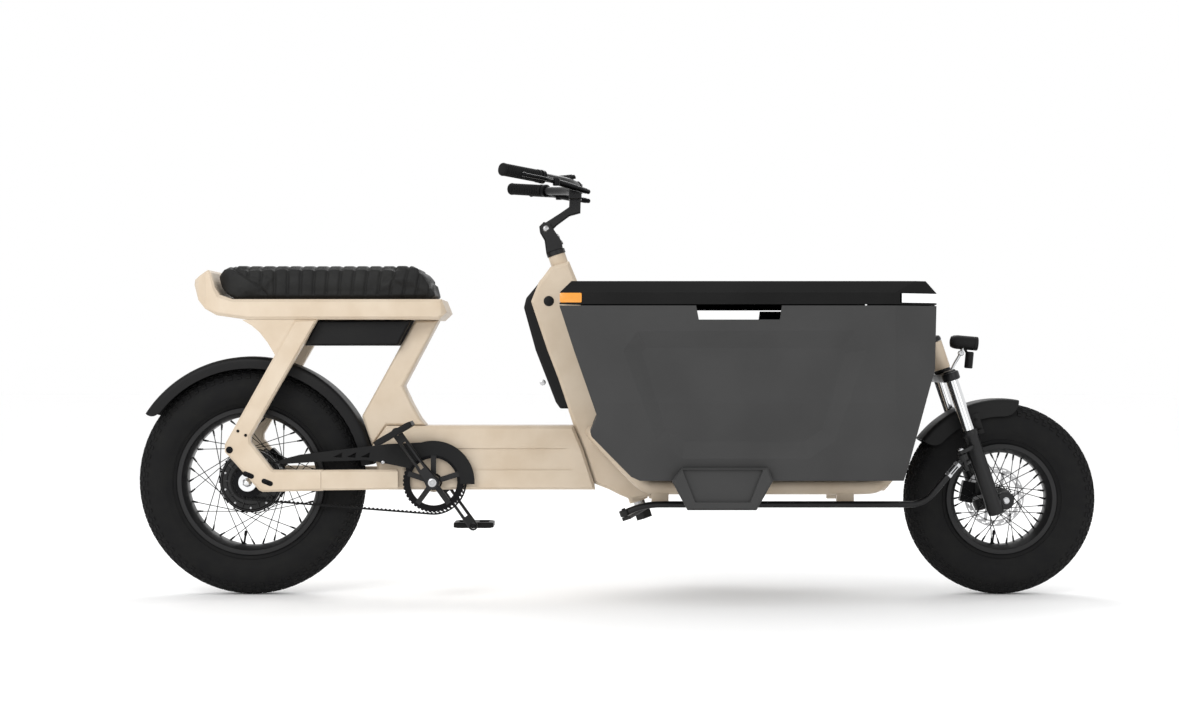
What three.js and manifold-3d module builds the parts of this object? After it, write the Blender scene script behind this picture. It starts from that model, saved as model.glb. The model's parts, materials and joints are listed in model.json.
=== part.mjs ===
// Long front-loading cargo bicycle with a lidded box between the steering tower and the front wheel.
// Millimetres. +X is forward, +Y is the rider's left and +Z is up. The origin is on the ground, under the
// middle of the bicycle's length and width. Every sub-part is one closed solid in its own named mesh.
import * as THREE from "three";
import { mergeVertices } from "three/addons/utils/BufferGeometryUtils.js";
import Module from "manifold-3d";

const wasm = await Module();
wasm.setup();

// ---------------------------------------------------------------- driving dimensions
const DEGREE = Math.PI / 180;
const FIT = 0.4; // gap between pieces that touch on the real bicycle
const RUNNING = 1.5; // gap between pieces that turn or slide past each other

const WHEELBASE = 1976;
const REAR_TYRE_RADIUS = 300; // 20 x 4.0 tyre
const FRONT_TYRE_RADIUS = 253; // 16 x 4.0 tyre
const TYRE_WIDTH = 102;
const TREAD_FLAT = 44; // width of the nearly flat crown
const RIM_WIDTH = 80;
const GUARD_SIDE_GAP = 7; // from the tyre's side to the mudguard's outer face
const RIM_DEPTH = 24;
const REAR_RIM_RADIUS = 195;
const FRONT_RIM_RADIUS = 146;
const SPOKES = 36;
const SPOKE_RADIUS = 1.5;
const DISC_RADIUS = 80;

const STEER_TILT = 18.5 * DEGREE; // both steering axes lean back by this much
const COLUMN_TOP = { x: -160, z: 897 }; // where the rear steering axis leaves the tower
const COLUMN_RADIUS = 15;
const FORK_REACH = 34; // front axle ahead of the fork's steering axis
const FORK_ROOM = 44; // from the tyre's side to the middle of each fork leg
const STANCHION_RADIUS = 16;
const LOWER_LEG_RADIUS = 20;
const STEERING_ARM_OUT = 150; // sideways reach of both steering arms
const STEERING_ARM_BACK = 45; // rearward reach of both steering arms
const TIE_ROD_RADIUS = 8.5;

const BEAM_WIDTH = 120;
const BEAM_TOP = 446;
const BEAM_BOTTOM = 279;
const BEAM_WALL = 7;
const TOWER_WIDTH = 92;
const STAY_BELT_ROOM = 53; // from the belt's middle to the outer face of the rear stays
const STAY_WIDTH = 34;
const SEAT_WIDTH = 250;
const SEAT_RAIL_BOTTOM = 724;
const SEAT_RAIL_TOP = 777;
const SEAT_TOP = 860;
const CRADLE_RADIUS = 18;
const CRADLE_SPREAD = 112; // half the distance between the two rails under the box

const BOX_WIDTH = 664;
const BOX_REAR = -148;
const BOX_FRONT = 801;
const BOX_TOP = 755;
const BOX_FLOOR = 317;
const BOX_CREASE = 512; // height of the fold below which the walls lean in
const BOX_LEAN = 26; // how far each side wall leans in from the crease to the floor
const BOX_WALL = 6;
const LID_GAP = 3;
const LID_BAND = 29; // height of the lid's upright band
const LID_HEIGHT = 59;
const LID_SLOPE = 30; // how far the lid's top slopes in
const LID_WALL = 5;

const CHAINSTAY = 483.5; // from the rear axle forward to the crank
const CRANK_Z = 300.5;
const CRANK_LENGTH = 160;
const CRANK_LEAN = 125.6 * DEGREE; // the right crank arm, up and back from straight ahead
const BELT_GUARD_ROOM = 11; // from the mudguard's side to the belt's middle
const BELT_BEAM_ROOM = 9; // from the beam's side to the belt's middle
const CRANK_BELT_ROOM = 35; // from the belt's middle to the crank arm's inner face
const BELT_WIDTH = 10;
const BELT_THICKNESS = 4.5;
const FRONT_PULLEY_RADIUS = 80.5;
const REAR_PULLEY_RADIUS = 42;
const PEDAL_LENGTH = 108;
const PEDAL_WIDTH = 92;

const BAR_RADIUS = 11;
const GRIP_RADIUS = 16;
const GRIP_LENGTH = 120;

// ---------------------------------------------------------------- places worked out from them
const guardHalf = TYRE_WIDTH / 2 + GUARD_SIDE_GAP;
const BELT_PLANE = -Math.max(guardHalf + BELT_GUARD_ROOM, BEAM_WIDTH / 2 + BELT_BEAM_ROOM);
const STAY_OUTER = STAY_BELT_ROOM - BELT_PLANE;
const FORK_SPREAD = TYRE_WIDTH / 2 + FORK_ROOM;
const LENGTH = REAR_TYRE_RADIUS + WHEELBASE + FRONT_TYRE_RADIUS;
const REAR_AXLE = new THREE.Vector3(-LENGTH / 2 + REAR_TYRE_RADIUS, 0, REAR_TYRE_RADIUS);
const FRONT_AXLE = new THREE.Vector3(LENGTH / 2 - FRONT_TYRE_RADIUS, 0, FRONT_TYRE_RADIUS);
const CRANK = new THREE.Vector3(REAR_AXLE.x + CHAINSTAY, 0, CRANK_Z);
// The outlines of the rear frame and the fork end are drawn with the axles here, and slide with them.
const DRAWN_REAR_AXLE = -964.5;
const DRAWN_FRONT_AXLE = 1011.5;
const rearSlide = REAR_AXLE.x - DRAWN_REAR_AXLE;
const frontSlide = FRONT_AXLE.x - DRAWN_FRONT_AXLE;
const slid = (points, by) => points.map(([x, ...rest]) => [x + by, ...rest]);
const withRear = (points) => slid(points, rearSlide);
const withFront = (points) => slid(points, frontSlide);
// The tilted frames have their local +Z up the steering axis and local +X forward.
const steerUp = new THREE.Vector3(-Math.sin(STEER_TILT), 0, Math.cos(STEER_TILT));
const steerForward = new THREE.Vector3(Math.cos(STEER_TILT), 0, Math.sin(STEER_TILT));
const COLUMN_FOOT_DROP = 690; // from the column's top to the steering arm, along the axis
const columnTop = new THREE.Vector3(COLUMN_TOP.x, 0, COLUMN_TOP.z);
const columnFoot = columnTop.clone().addScaledVector(steerUp, -COLUMN_FOOT_DROP);
const forkFoot = FRONT_AXLE.clone().addScaledVector(steerForward, -FORK_REACH); // abreast of the front axle
const columnX = (z) => COLUMN_TOP.x + (COLUMN_TOP.z - z) * Math.tan(STEER_TILT);

// ---------------------------------------------------------------- geometry helpers
// A geometry as a manifold-3d solid with its faces pointing out.
function solid(geometry) {
  const loose = geometry.index ? geometry.toNonIndexed() : geometry.clone();
  const bare = new THREE.BufferGeometry().setAttribute("position", loose.getAttribute("position"));
  const merged = mergeVertices(bare, 1e-3);
  const corners = merged.getAttribute("position").array;
  const triangles = new Uint32Array(merged.index.array);
  const [a, b, c] = [new THREE.Vector3(), new THREE.Vector3(), new THREE.Vector3()];
  let volume = 0;
  for (let i = 0; i < triangles.length; i += 3) {
    a.fromArray(corners, 3 * triangles[i]);
    b.fromArray(corners, 3 * triangles[i + 1]);
    c.fromArray(corners, 3 * triangles[i + 2]);
    volume += a.dot(b.cross(c));
  }
  if (volume < 0) triangles.reverse();
  return new wasm.Manifold(new wasm.Mesh({ numProp: 3, vertProperties: corners, triVerts: triangles }));
}

function geometryOf(manifold) {
  const mesh = manifold.getMesh();
  return new THREE.BufferGeometry()
    .setAttribute("position", new THREE.BufferAttribute(mesh.vertProperties, 3))
    .setIndex(new THREE.BufferAttribute(mesh.triVerts, 1));
}

const join = (...shapes) => geometryOf(shapes.map(solid).reduce((all, s) => all.add(s)));
const cut = (shape, ...tools) => geometryOf(
  tools.map(solid).reduce((left, tool) => left.subtract(tool), solid(shape)));
const common = (shape, other) => geometryOf(solid(shape).intersect(solid(other)));
const mirrored = (shape) => geometryOf(solid(shape.clone().scale(1, -1, 1)));

function outline(points) {
  return new THREE.Shape(points.map(([a, b]) => new THREE.Vector2(a, b)));
}

function arcPoints(x, z, radius, from, to, steps) {
  return Array.from({ length: steps + 1 }, (_, i) => {
    const angle = (from + ((to - from) * i) / steps) * DEGREE;
    return [x + radius * Math.cos(angle), z + radius * Math.sin(angle)];
  });
}

function extruded(shape, depth, chamfer) {
  return new THREE.ExtrudeGeometry(shape, {
    depth: depth - 2 * chamfer,
    bevelEnabled: chamfer > 0,
    bevelThickness: chamfer,
    bevelSize: chamfer,
    bevelOffset: -chamfer,
    bevelSegments: 1,
    curveSegments: 8,
  }).translate(0, 0, chamfer);
}

// An outline in the side view, [x, z], as a plate from y = low to y = high.
function plate(points, low, high, chamfer = 0) {
  return extruded(outline(points), high - low, chamfer).rotateX(Math.PI / 2).translate(0, high, 0);
}

// An outline in the top view, [x, y], as a slab from z = low to z = high.
function slab(points, low, high, chamfer = 0) {
  return extruded(outline(points), high - low, chamfer).translate(0, 0, low);
}

function block(xLow, xHigh, yLow, yHigh, zLow, zHigh) {
  return new THREE.BoxGeometry(xHigh - xLow, yHigh - yLow, zHigh - zLow).translate(
    (xLow + xHigh) / 2, (yLow + yHigh) / 2, (zLow + zHigh) / 2);
}

// A round bar between two points.
function bar(from, to, radius, sides = 12) {
  const [a, b] = [new THREE.Vector3(...from), new THREE.Vector3(...to)];
  const along = b.clone().sub(a);
  const turn = new THREE.Quaternion();
  turn.setFromUnitVectors(new THREE.Vector3(0, 1, 0), along.clone().normalize());
  return new THREE.CylinderGeometry(radius, radius, along.length(), sides)
    .applyQuaternion(turn)
    .translate(...a.add(b).multiplyScalar(0.5).toArray());
}

// A profile of [radius, height] points turned about the Y axis, or about Z when upright.
function turned(profile, sides, upright = false) {
  const shape = new THREE.LatheGeometry(profile.map(([r, h]) => new THREE.Vector2(r, h)), sides);
  return upright ? shape.rotateX(Math.PI / 2) : shape;
}

function ring(inner, outer, low, high, sides, upright = false) {
  return turned([[inner, low], [outer, low], [outer, high], [inner, high], [inner, low]], sides, upright);
}

// ---------------------------------------------------------------- finishes and mesh placing
const FINISHES = {
  beige_paint: { color: 0xd6c5af, roughness: 0.4, metalness: 0.1 },
  black_paint: { color: 0x1a1a1a, roughness: 0.45, metalness: 0.1 },
  black_plastic: { color: 0x222222, roughness: 0.6, metalness: 0 },
  grey_plastic: { color: 0x444444, roughness: 0.7, metalness: 0 },
  lid_plastic: { color: 0x262626, roughness: 0.6, metalness: 0 },
  rubber: { color: 0x161616, roughness: 0.9, metalness: 0 },
  vinyl: { color: 0x2b2b2b, roughness: 0.7, metalness: 0 },
  bare_metal: { color: 0xb8b8b8, roughness: 0.3, metalness: 1 },
  orange_lens: { color: 0xf5a640, roughness: 0.3, metalness: 0 },
  white_lens: { color: 0xf4f4f4, roughness: 0.3, metalness: 0 },
};
const finishes = Object.fromEntries(
  Object.entries(FINISHES).map(([name, look]) => [
    name, new THREE.MeshStandardMaterial({ ...look, name, flatShading: true })]));

const bicycle = new THREE.Group();
function group(parent, place, tilted = false) {
  const made = new THREE.Group();
  made.position.copy(place);
  if (tilted) made.rotation.y = -STEER_TILT;
  parent.add(made);
  return made;
}
function part(name, geometry, finish, parent = bicycle) {
  const mesh = new THREE.Mesh(geometry, finishes[finish]);
  mesh.name = name;
  parent.add(mesh);
  return mesh;
}
// Straight bars end to end through the points, as one solid.
function bentRod(points, radius, sides = 8) {
  const overlap = 0.35 * radius;
  const bars = points.slice(1).map((to, i) => {
    const [a, b] = [new THREE.Vector3(...points[i]), new THREE.Vector3(...to)];
    const along = b.clone().sub(a).normalize();
    if (i > 0) a.addScaledVector(along, -overlap);
    if (i < points.length - 2) b.addScaledVector(along, overlap);
    return bar(a.toArray(), b.toArray(), radius, sides);
  });
  return join(...bars);
}

// A piece made upright in a steering axis's own frame, placed with its origin at a point on the bicycle.
const leaned = (shape, origin) => shape.clone().rotateY(-STEER_TILT).translate(origin.x, origin.y, origin.z);
// The point a distance forward, out to the left and up along a steering axis from its foot.
const fromFoot = (foot, forward, left, up) =>
  foot.clone().addScaledVector(steerForward, forward).addScaledVector(steerUp, up).setY(left);

// ---------------------------------------------------------------- wheels, turned about Y at the axle
const ROUND = 40; // flats round each tyre, with one flat on the ground
const flatToFlat = 1 / Math.cos(Math.PI / ROUND);

function tyre(radius, rimRadius) {
  const half = TYRE_WIDTH / 2;
  const bead = RIM_WIDTH / 2 - 10;
  const middle = (radius + rimRadius) / 2;
  const skin = [
    [rimRadius - 8, bead], [rimRadius + 1, bead + 5.5], [rimRadius + 16, half - 5], [middle + 12, half],
    [radius - 16, half - 9],
    [radius, TREAD_FLAT / 2],
  ];
  const lining = [[radius - 10, TREAD_FLAT / 2 - 3], [middle + 8, half - 9], [rimRadius - 8, bead - 7]];
  const other = (points) => points.map(([r, y]) => [r, -y]);
  const profile = [...other(skin), ...[...skin].reverse(), ...[...lining].reverse(), ...other(lining)];
  const closed = [...profile, profile[0]].map(([r, y]) => [r * flatToFlat, y]);
  return turned(closed, ROUND).rotateY(Math.PI / ROUND);
}

function rim(radius) {
  const half = RIM_WIDTH / 2;
  const outer = [[radius - RIM_DEPTH, 18], [radius - 13, half], [radius, half], [radius, half - 4]];
  const bed = [[radius - 17, half - 10]];
  const side = [...outer, ...bed];
  const profile = [...side.map(([r, y]) => [r, -y]), ...[...side].reverse()];
  return turned([...profile, profile[0]], ROUND).rotateY(Math.PI / ROUND);
}

// Crossed spokes in one piece with the thin band that their nipples seat in, inside the rim.
function spokes(flangeRadius, flangeOut, rimRadius) {
  const bandOuter = (rimRadius - RIM_DEPTH) / flatToFlat - FIT;
  const band = ring(bandOuter - 2.5, bandOuter, -9, 9, SPOKES).rotateY(Math.PI / SPOKES);
  const reach = bandOuter - 1.5;
  const headStep = 2.6; // the heads sit on alternate faces of the flange, so crossed spokes pass clear
  const cross = 62 * DEGREE; // how far round the hub each spoke leans
  const all = Array.from({ length: SPOKES }, (_, i) => {
    const side = i % 2 ? 1 : -1;
    const lean = i % 4 < 2 ? cross : -cross;
    const atRim = (2 * Math.PI * i) / SPOKES;
    const atHub = atRim + lean;
    const headY = side * flangeOut + Math.sign(lean) * headStep;
    return bar([flangeRadius * Math.cos(atHub), headY, flangeRadius * Math.sin(atHub)],
      [reach * Math.cos(atRim), side * 5, reach * Math.sin(atRim)], SPOKE_RADIUS, 4);
  });
  return join(band, ...all);
}

function brakeDisc(boreRadius, side) {
  return ring(boreRadius, DISC_RADIUS, side - 1, side + 1, 30);
}

const AXLE_RADIUS = 7;
const HUB_BORE = AXLE_RADIUS + RUNNING;
const DISC_OUT = 60; // plane of both brake discs
const FREEHUB_RADIUS = 20;
const REAR_HUB_RADIUS = 82;
const FRONT_FLANGE_RADIUS = 29;

const rearWheel = group(bicycle, REAR_AXLE);
part("rear_tyre", tyre(REAR_TYRE_RADIUS, REAR_RIM_RADIUS), "rubber", rearWheel);
part("rear_rim", rim(REAR_RIM_RADIUS), "black_paint", rearWheel);
part("rear_spokes", spokes(REAR_HUB_RADIUS + 2.5, 30, REAR_RIM_RADIUS), "black_paint", rearWheel);
part("rear_hub", turned([
  [HUB_BORE, BELT_PLANE + 7], [FREEHUB_RADIUS, BELT_PLANE + 7], [FREEHUB_RADIUS, -42], [62, -40],
  [REAR_HUB_RADIUS - 4, -36],
  [REAR_HUB_RADIUS, -32], [REAR_HUB_RADIUS, 32], [REAR_HUB_RADIUS - 4, 36], [58, 41], [24, 43],
  [24, DISC_OUT - 1 - FIT], [HUB_BORE, DISC_OUT - 1 - FIT], [HUB_BORE, BELT_PLANE + 7],
], 24), "black_paint", rearWheel);
part("rear_brake_disc", brakeDisc(HUB_BORE + 6, DISC_OUT), "bare_metal", rearWheel);

const frontWheel = group(bicycle, FRONT_AXLE);
part("front_tyre", tyre(FRONT_TYRE_RADIUS, FRONT_RIM_RADIUS), "rubber", frontWheel);
part("front_rim", rim(FRONT_RIM_RADIUS), "black_paint", frontWheel);
part("front_spokes", spokes(FRONT_FLANGE_RADIUS + 2.5, 32, FRONT_RIM_RADIUS), "black_paint", frontWheel);
part("front_hub", turned([
  [HUB_BORE, -64], [15, -64], [17, -38], [FRONT_FLANGE_RADIUS, -36], [FRONT_FLANGE_RADIUS, -30], [20, -26],
  [20, 26], [FRONT_FLANGE_RADIUS, 30], [FRONT_FLANGE_RADIUS, 36], [20, 40], [20, DISC_OUT - 1 - FIT],
  [HUB_BORE, DISC_OUT - 1 - FIT], [HUB_BORE, -64],
], 24), "black_paint", frontWheel);
part("front_brake_disc", brakeDisc(HUB_BORE + 6, DISC_OUT), "bare_metal", frontWheel);

// ---------------------------------------------------------------- rear frame
const BRACKET_RADIUS = 22;
const beamHalf = BEAM_WIDTH / 2;
const towerRear = [[-115, BEAM_TOP], [-90, 386], [-60, 294], [-58, BEAM_BOTTOM]];
const beamOutline = [
  ...withRear([[-503, BEAM_TOP]]), ...towerRear.map(([x, z]) => [x - FIT, z]),
  ...withRear([[-600, BEAM_BOTTOM], [-628, 300], [-631, 341], [-644, 393], [-606, BEAM_TOP]]),
];
const panelDepth = 4;
const beamPanel = (low, high) => plate([
  ...withRear([[-545, 388], [-560, 330]]), [-118, 330], [-134, 388],
], low, high);
const cavityHalf = beamHalf - BEAM_WALL - panelDepth;
const beamCavity = block(rearSlide - 590, -40, -cavityHalf, cavityHalf,
  BEAM_BOTTOM + BEAM_WALL, 425);
part("main_beam", cut(
  join(
    cut(plate(beamOutline, -beamHalf, beamHalf, 7), beamCavity),
    ring(BRACKET_RADIUS - 2, BRACKET_RADIUS + 6, -beamHalf + 1, beamHalf - 1, 16)
      .translate(CRANK.x, 0, CRANK.z)),
  beamPanel(-beamHalf - 1, -beamHalf + panelDepth), beamPanel(beamHalf - panelDepth, beamHalf + 1),
  bar([CRANK.x, -beamHalf - 2, CRANK.z], [CRANK.x, beamHalf + 2, CRANK.z], BRACKET_RADIUS + FIT, 16),
), "beige_paint");

const STAY_INNER = STAY_OUTER - STAY_WIDTH;
const DROPOUT_INNER = STAY_INNER - 8;
function rearFrame() {
  const stay = plate(withRear([
    [-838, SEAT_RAIL_BOTTOM - FIT], [-1019, 400], [-1019, 381], [-930, 281], [-920, 277], [-765, 280],
    [-765, 334], [-893, 334], [-898, 338], [-952, 406], [-952, 420], [-779, SEAT_RAIL_BOTTOM - FIT],
  ]), -STAY_OUTER, -STAY_INNER, 6);
  const bend = slab(withRear([
    [-775, -STAY_OUTER + 2], [-715, -STAY_OUTER + 12], [-655, -STAY_OUTER + 24], [-574, -beamHalf - 18],
    [-574, -beamHalf - FIT],
    [-690, -beamHalf - FIT], [-775, -STAY_INNER],
  ]), 281, 333, 5);
  const gusset = plate(withRear([
    [-975, SEAT_RAIL_BOTTOM - FIT], [-950, 709], [-929, 691], [-908, 664], [-889, 632], [-868, 640],
    [-830, SEAT_RAIL_BOTTOM - FIT],
  ]), -STAY_OUTER + 6, -STAY_INNER + 2);
  const dropout = plate([
    ...arcPoints(REAR_AXLE.x, REAR_AXLE.z, 24, 110, 330, 8),
    ...withRear([[-925, 300], [-925, 345], [-955, 350]]),
  ], -STAY_INNER - 1, -DROPOUT_INNER);
  const axleHole = bar([REAR_AXLE.x, -STAY_OUTER - 5, REAR_AXLE.z], [REAR_AXLE.x, 0, REAR_AXLE.z],
    AXLE_RADIUS + FIT, 16);
  return cut(join(stay, bend, gusset, dropout), axleHole);
}
part("rear_frame_right", rearFrame(), "beige_paint");
part("rear_frame_left", mirrored(rearFrame()), "beige_paint");

part("seat_strut", plate(withRear([
  [-533, SEAT_RAIL_BOTTOM - FIT], [-672, 471], [-645, 393.5], [-606.5, BEAM_TOP + FIT],
  [-503, BEAM_TOP + FIT], [-519, 466], [-540, 503], [-562, 550], [-470, SEAT_RAIL_BOTTOM - FIT],
]), -45, 45, 6), "beige_paint");

const seatHalf = SEAT_WIDTH / 2;
// A rounded rectangle in the top view.
function roundedPlan(xLow, xHigh, half, rearRadius, frontRadius, low, high) {
  return slab(withRear([
    ...arcPoints(xHigh - frontRadius, half - frontRadius, frontRadius, 0, 90, 4),
    ...arcPoints(xLow + rearRadius, half - rearRadius, rearRadius, 90, 180, 4),
    ...arcPoints(xLow + rearRadius, -half + rearRadius, rearRadius, 180, 270, 4),
    ...arcPoints(xHigh - frontRadius, -half + frontRadius, frontRadius, 270, 360, 4),
  ]), low, high);
}
const tailTip = [-1062, 853];
part("seat_rail", cut(
  common(
    plate(withRear([
      [-963, SEAT_RAIL_BOTTOM], [-463, SEAT_RAIL_BOTTOM], [-443, 743], [-457, SEAT_RAIL_TOP],
      [-998, SEAT_RAIL_TOP], [-1032, 788], [-1045, 808], [-1055, 846], tailTip, [-1102, 828],
      [-1104, 815], [-1090, 775], [-1070, 752], [-1040, 735],
    ]), -seatHalf, seatHalf, 8),
    roundedPlan(-1110, -440, seatHalf, 70, 30, 700, 880)),
  block(rearSlide - 950, rearSlide - 560, 14 - seatHalf, seatHalf - 14,
    SEAT_RAIL_BOTTOM - 1, SEAT_RAIL_TOP - 12),
), "beige_paint");
part("seat_pad", common(
  plate(withRear([
    [-460, SEAT_RAIL_TOP + FIT], [-509, SEAT_TOP], [-1034, SEAT_TOP], [-1052, 842],
    [-1041, 808], [-1029, 790], [-996, SEAT_RAIL_TOP + FIT],
  ]), -seatHalf + 6, seatHalf - 6, 4),
  roundedPlan(-1060, -450, seatHalf - 6, 62, 26, 700, 880)), "vinyl");
part("under_seat_box", plate(withRear([
  [-784, SEAT_RAIL_BOTTOM - FIT], [-817, 657], [-574, 657], [-538, SEAT_RAIL_BOTTOM - FIT],
]), -84, 84, 5), "black_plastic");

// ---------------------------------------------------------------- steering tower and battery
const towerHalf = TOWER_WIDTH / 2;
const batteryHalf = towerHalf - 8;
const BATTERY_BOTTOM = 491;
const BATTERY_TOP = 825;
const batteryFront = (z) => columnX(z) - 50;
const bore = leaned(bar([0, 0, -60], [0, 0, COLUMN_FOOT_DROP + 60], COLUMN_RADIUS + RUNNING, 16), columnFoot);
const bearingHousing = leaned(bar([0, 0, 4], [0, 0, 40], 25, 16), columnFoot);
part("steering_tower", cut(
  join(
    plate([
      [-176, 864], [-198, 834], [-208, 824], [-228, 773], [-185, 645], [-155, 567], ...towerRear.slice(0, 3),
      [-20, 278], [7, 264], [41, 250], [92, 262], [columnX(300) + 31, 300], [columnX(829) + 31, 829],
      [-127, 879],
    ], -towerHalf, towerHalf, 8),
    bearingHousing,
    leaned(bar([0, 0, COLUMN_FOOT_DROP - 30], [0, 0, COLUMN_FOOT_DROP], 23, 16), columnFoot)),
  bore,
  plate([
    [-400, BATTERY_BOTTOM - 1.5], [batteryFront(BATTERY_BOTTOM - 1.5) + 1.5, BATTERY_BOTTOM - 1.5],
    [batteryFront(BATTERY_TOP + 1.5) + 1.5, BATTERY_TOP + 1.5], [-400, BATTERY_TOP + 1.5],
  ], -batteryHalf - 1, batteryHalf + 1),
), "beige_paint");
part("battery_pack", plate([
  [-204, BATTERY_TOP], [-240, 782], [-246, 757], [-215, 645], [-162, 508], [-150, BATTERY_BOTTOM],
  [batteryFront(BATTERY_BOTTOM), BATTERY_BOTTOM], [batteryFront(BATTERY_TOP), BATTERY_TOP],
], -batteryHalf, batteryHalf, 4), "black_plastic");

// ---------------------------------------------------------------- cradle under the box, and the front riser
const CRADLE_HEIGHT = 288;
const RISER_WIDTH = 48;
const HEAD_TUBE_LOW = 372;
const HEAD_TUBE_HIGH = 446;
const HEAD_TUBE_RADIUS = 23;
const STEERER_RADIUS = 14;
function cradleRail() {
  const y = -CRADLE_SPREAD;
  const rail = bentRod([
    [-70, -40, 434], [-58, y + 22, 422], [-38, y, 402], [54, y, 306], [80, y, CRADLE_HEIGHT],
    ...withFront([[610, y, CRADLE_HEIGHT], [665, y + 18, CRADLE_HEIGHT], [712, -10, CRADLE_HEIGHT + 12]]),
  ], CRADLE_RADIUS, 8);
  const pads = [110, 350, 590].map((x) =>
    block(x - 22, x + 22, y - 12, y + 12, CRADLE_HEIGHT, BOX_FLOOR - FIT));
  return cut(join(rail, ...pads),
    block(-200, 200, -towerHalf - FIT, 20, 200, 500),
    block(frontSlide + 500, frontSlide + 800, -RISER_WIDTH / 2 - FIT, 60, 200, 400));
}
part("cradle_rail_right", cradleRail(), "beige_paint");
part("cradle_rail_left", mirrored(cradleRail()), "beige_paint");

const riserOutline = withFront([
  [672, 274], [706, 274], [730, 302], [794, 548], [838, 606], [818, 655], [800, 650], [764, 600], [686, 320],
]);
part("front_riser", cut(
  join(
    plate(riserOutline, -RISER_WIDTH / 2, RISER_WIDTH / 2, 5),
    leaned(bar([0, 0, HEAD_TUBE_LOW], [0, 0, HEAD_TUBE_HIGH], HEAD_TUBE_RADIUS, 16), forkFoot)),
  leaned(bar([0, 0, HEAD_TUBE_LOW - 20], [0, 0, HEAD_TUBE_HIGH + 20], STEERER_RADIUS + RUNNING, 16),
    forkFoot),
), "beige_paint");

// ---------------------------------------------------------------- cargo box and lid
const boxHalf = BOX_WIDTH / 2;
const COCKPIT_RECESS = 52; // how far the rear edge steps forward to clear the brake levers
const FRONT_FACET = 113; // length of the slanted front corners in the side view
const rearEdge = BOX_REAR + COCKPIT_RECESS;
const towerGapHalf = towerHalf + 10;
const towerGapFront = (z) => columnX(z) + 42;
const riserGapHalf = RISER_WIDTH / 2 + 9;

// The outline from above, drawn in from every edge by an inset.
function boxPlan(inset, low, high) {
  const half = boxHalf - inset;
  const side = [
    [BOX_REAR + inset, half], [rearEdge + inset, 262 - inset], [rearEdge + inset, -262 + inset],
    [BOX_REAR + inset, -half], [BOX_FRONT - FRONT_FACET, -half], [BOX_FRONT - inset, -boxHalf + 62 + inset],
    [BOX_FRONT - inset, boxHalf - 62 - inset], [BOX_FRONT - FRONT_FACET, half],
  ];
  return slab(side, low, high);
}
function towerGap(grow) {
  const front = (z) => towerGapFront(z) + grow;
  return plate([[-400, 200], [front(200), 200], [front(900), 900], [-400, 900]],
    -towerGapHalf - grow, towerGapHalf + grow);
}
// Room for the cradle rails where they climb to the beam.
function railGap(grow) {
  const half = CRADLE_SPREAD + CRADLE_RADIUS + 8 + grow;
  const [across, up] = [82 + grow, 318 + grow];
  return plate([[-160, 250], [-160, 454 + grow], [-50, 454 + grow], [across, up], [across, 250]],
    -half, half);
}
function riserGap(grow) {
  return plate(withFront([[650 - grow, 250], [738 - grow, 590], [738 - grow, 900], [1000, 900], [1000, 250]]),
    -riserGapHalf - grow, riserGapHalf + grow);
}
function boxBody(inset, top) {
  const i = inset;
  const side = plate([
    [BOX_REAR + i, top], [-112 + i, 644], [-54 + i, 479], [-71 + i, 440], [-68 + i, 428],
    [31 + i, 327 + i], [53 + i, BOX_FLOOR + i], [BOX_FRONT - 88 - i, BOX_FLOOR + i],
    [BOX_FRONT - 4 - i, 596], [BOX_FRONT - i, top],
  ], -boxHalf, boxHalf);
  const section = slab([
    [BOX_REAR - 5, -boxHalf + i], [BOX_REAR - 5, boxHalf - i], [BOX_FRONT + 5, boxHalf - i],
    [BOX_FRONT + 5, -boxHalf + i],
  ], BOX_CREASE, top);
  const lean = (x, z) => [boxHalf - i - (BOX_LEAN * (BOX_CREASE - z)) / (BOX_CREASE - BOX_FLOOR), z, x];
  const [wide, narrow] = [lean(0, BOX_CREASE), lean(0, BOX_FLOOR - 1)];
  const lower = extruded(outline([
    [-wide[0], wide[1]], [-narrow[0], narrow[1]], [narrow[0], narrow[1]], [wide[0], wide[1]],
  ]), BOX_FRONT - BOX_REAR + 10, 0).rotateX(Math.PI / 2).rotateZ(Math.PI / 2).translate(BOX_REAR - 5, 0, 0);
  return common(common(side, join(section, lower)), boxPlan(i, BOX_FLOOR - 5, top));
}
function sideStep() {
  const outline = [[158, 350], [132, 318], [171, 245], [343, 245], [384, 318], [372, 350]];
  return plate(outline, -boxHalf - 2, 48 - boxHalf, 5);
}
const handHole = plate([[184, 800], [199, 720], [401, 720], [412, 800]], -boxHalf - 5, boxHalf + 5);
part("cargo_box", cut(
  join(cut(boxBody(0, BOX_TOP), towerGap(0), riserGap(0), railGap(0)), sideStep(), mirrored(sideStep())),
  cut(boxBody(BOX_WALL, BOX_TOP + 10), towerGap(BOX_WALL), riserGap(BOX_WALL), railGap(BOX_WALL)),
  handHole,
), "grey_plastic");

const lidBottom = BOX_TOP + LID_GAP;
const lidTop = lidBottom + LID_HEIGHT;
function lidBody(inset, bottom) {
  const i = inset;
  const bandTop = lidBottom + LID_BAND;
  const side = plate([
    [BOX_REAR + i, bottom], [BOX_FRONT - i, bottom], [BOX_FRONT - i, bandTop],
    [BOX_FRONT - LID_SLOPE - i / 2, lidTop - i], [BOX_REAR + LID_SLOPE + i / 2, lidTop - i],
    [BOX_REAR + i, bandTop],
  ], -boxHalf, boxHalf);
  const half = boxHalf - i;
  const across = extruded(outline([
    [-half, bottom], [half, bottom], [half, bandTop], [half - LID_SLOPE, lidTop - i],
    [-half + LID_SLOPE, lidTop - i], [-half, bandTop],
  ]), BOX_FRONT - BOX_REAR + 10, 0).rotateX(Math.PI / 2).rotateZ(Math.PI / 2).translate(BOX_REAR - 5, 0, 0);
  return common(common(side, across), boxPlan(i, bottom, lidTop));
}
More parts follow.
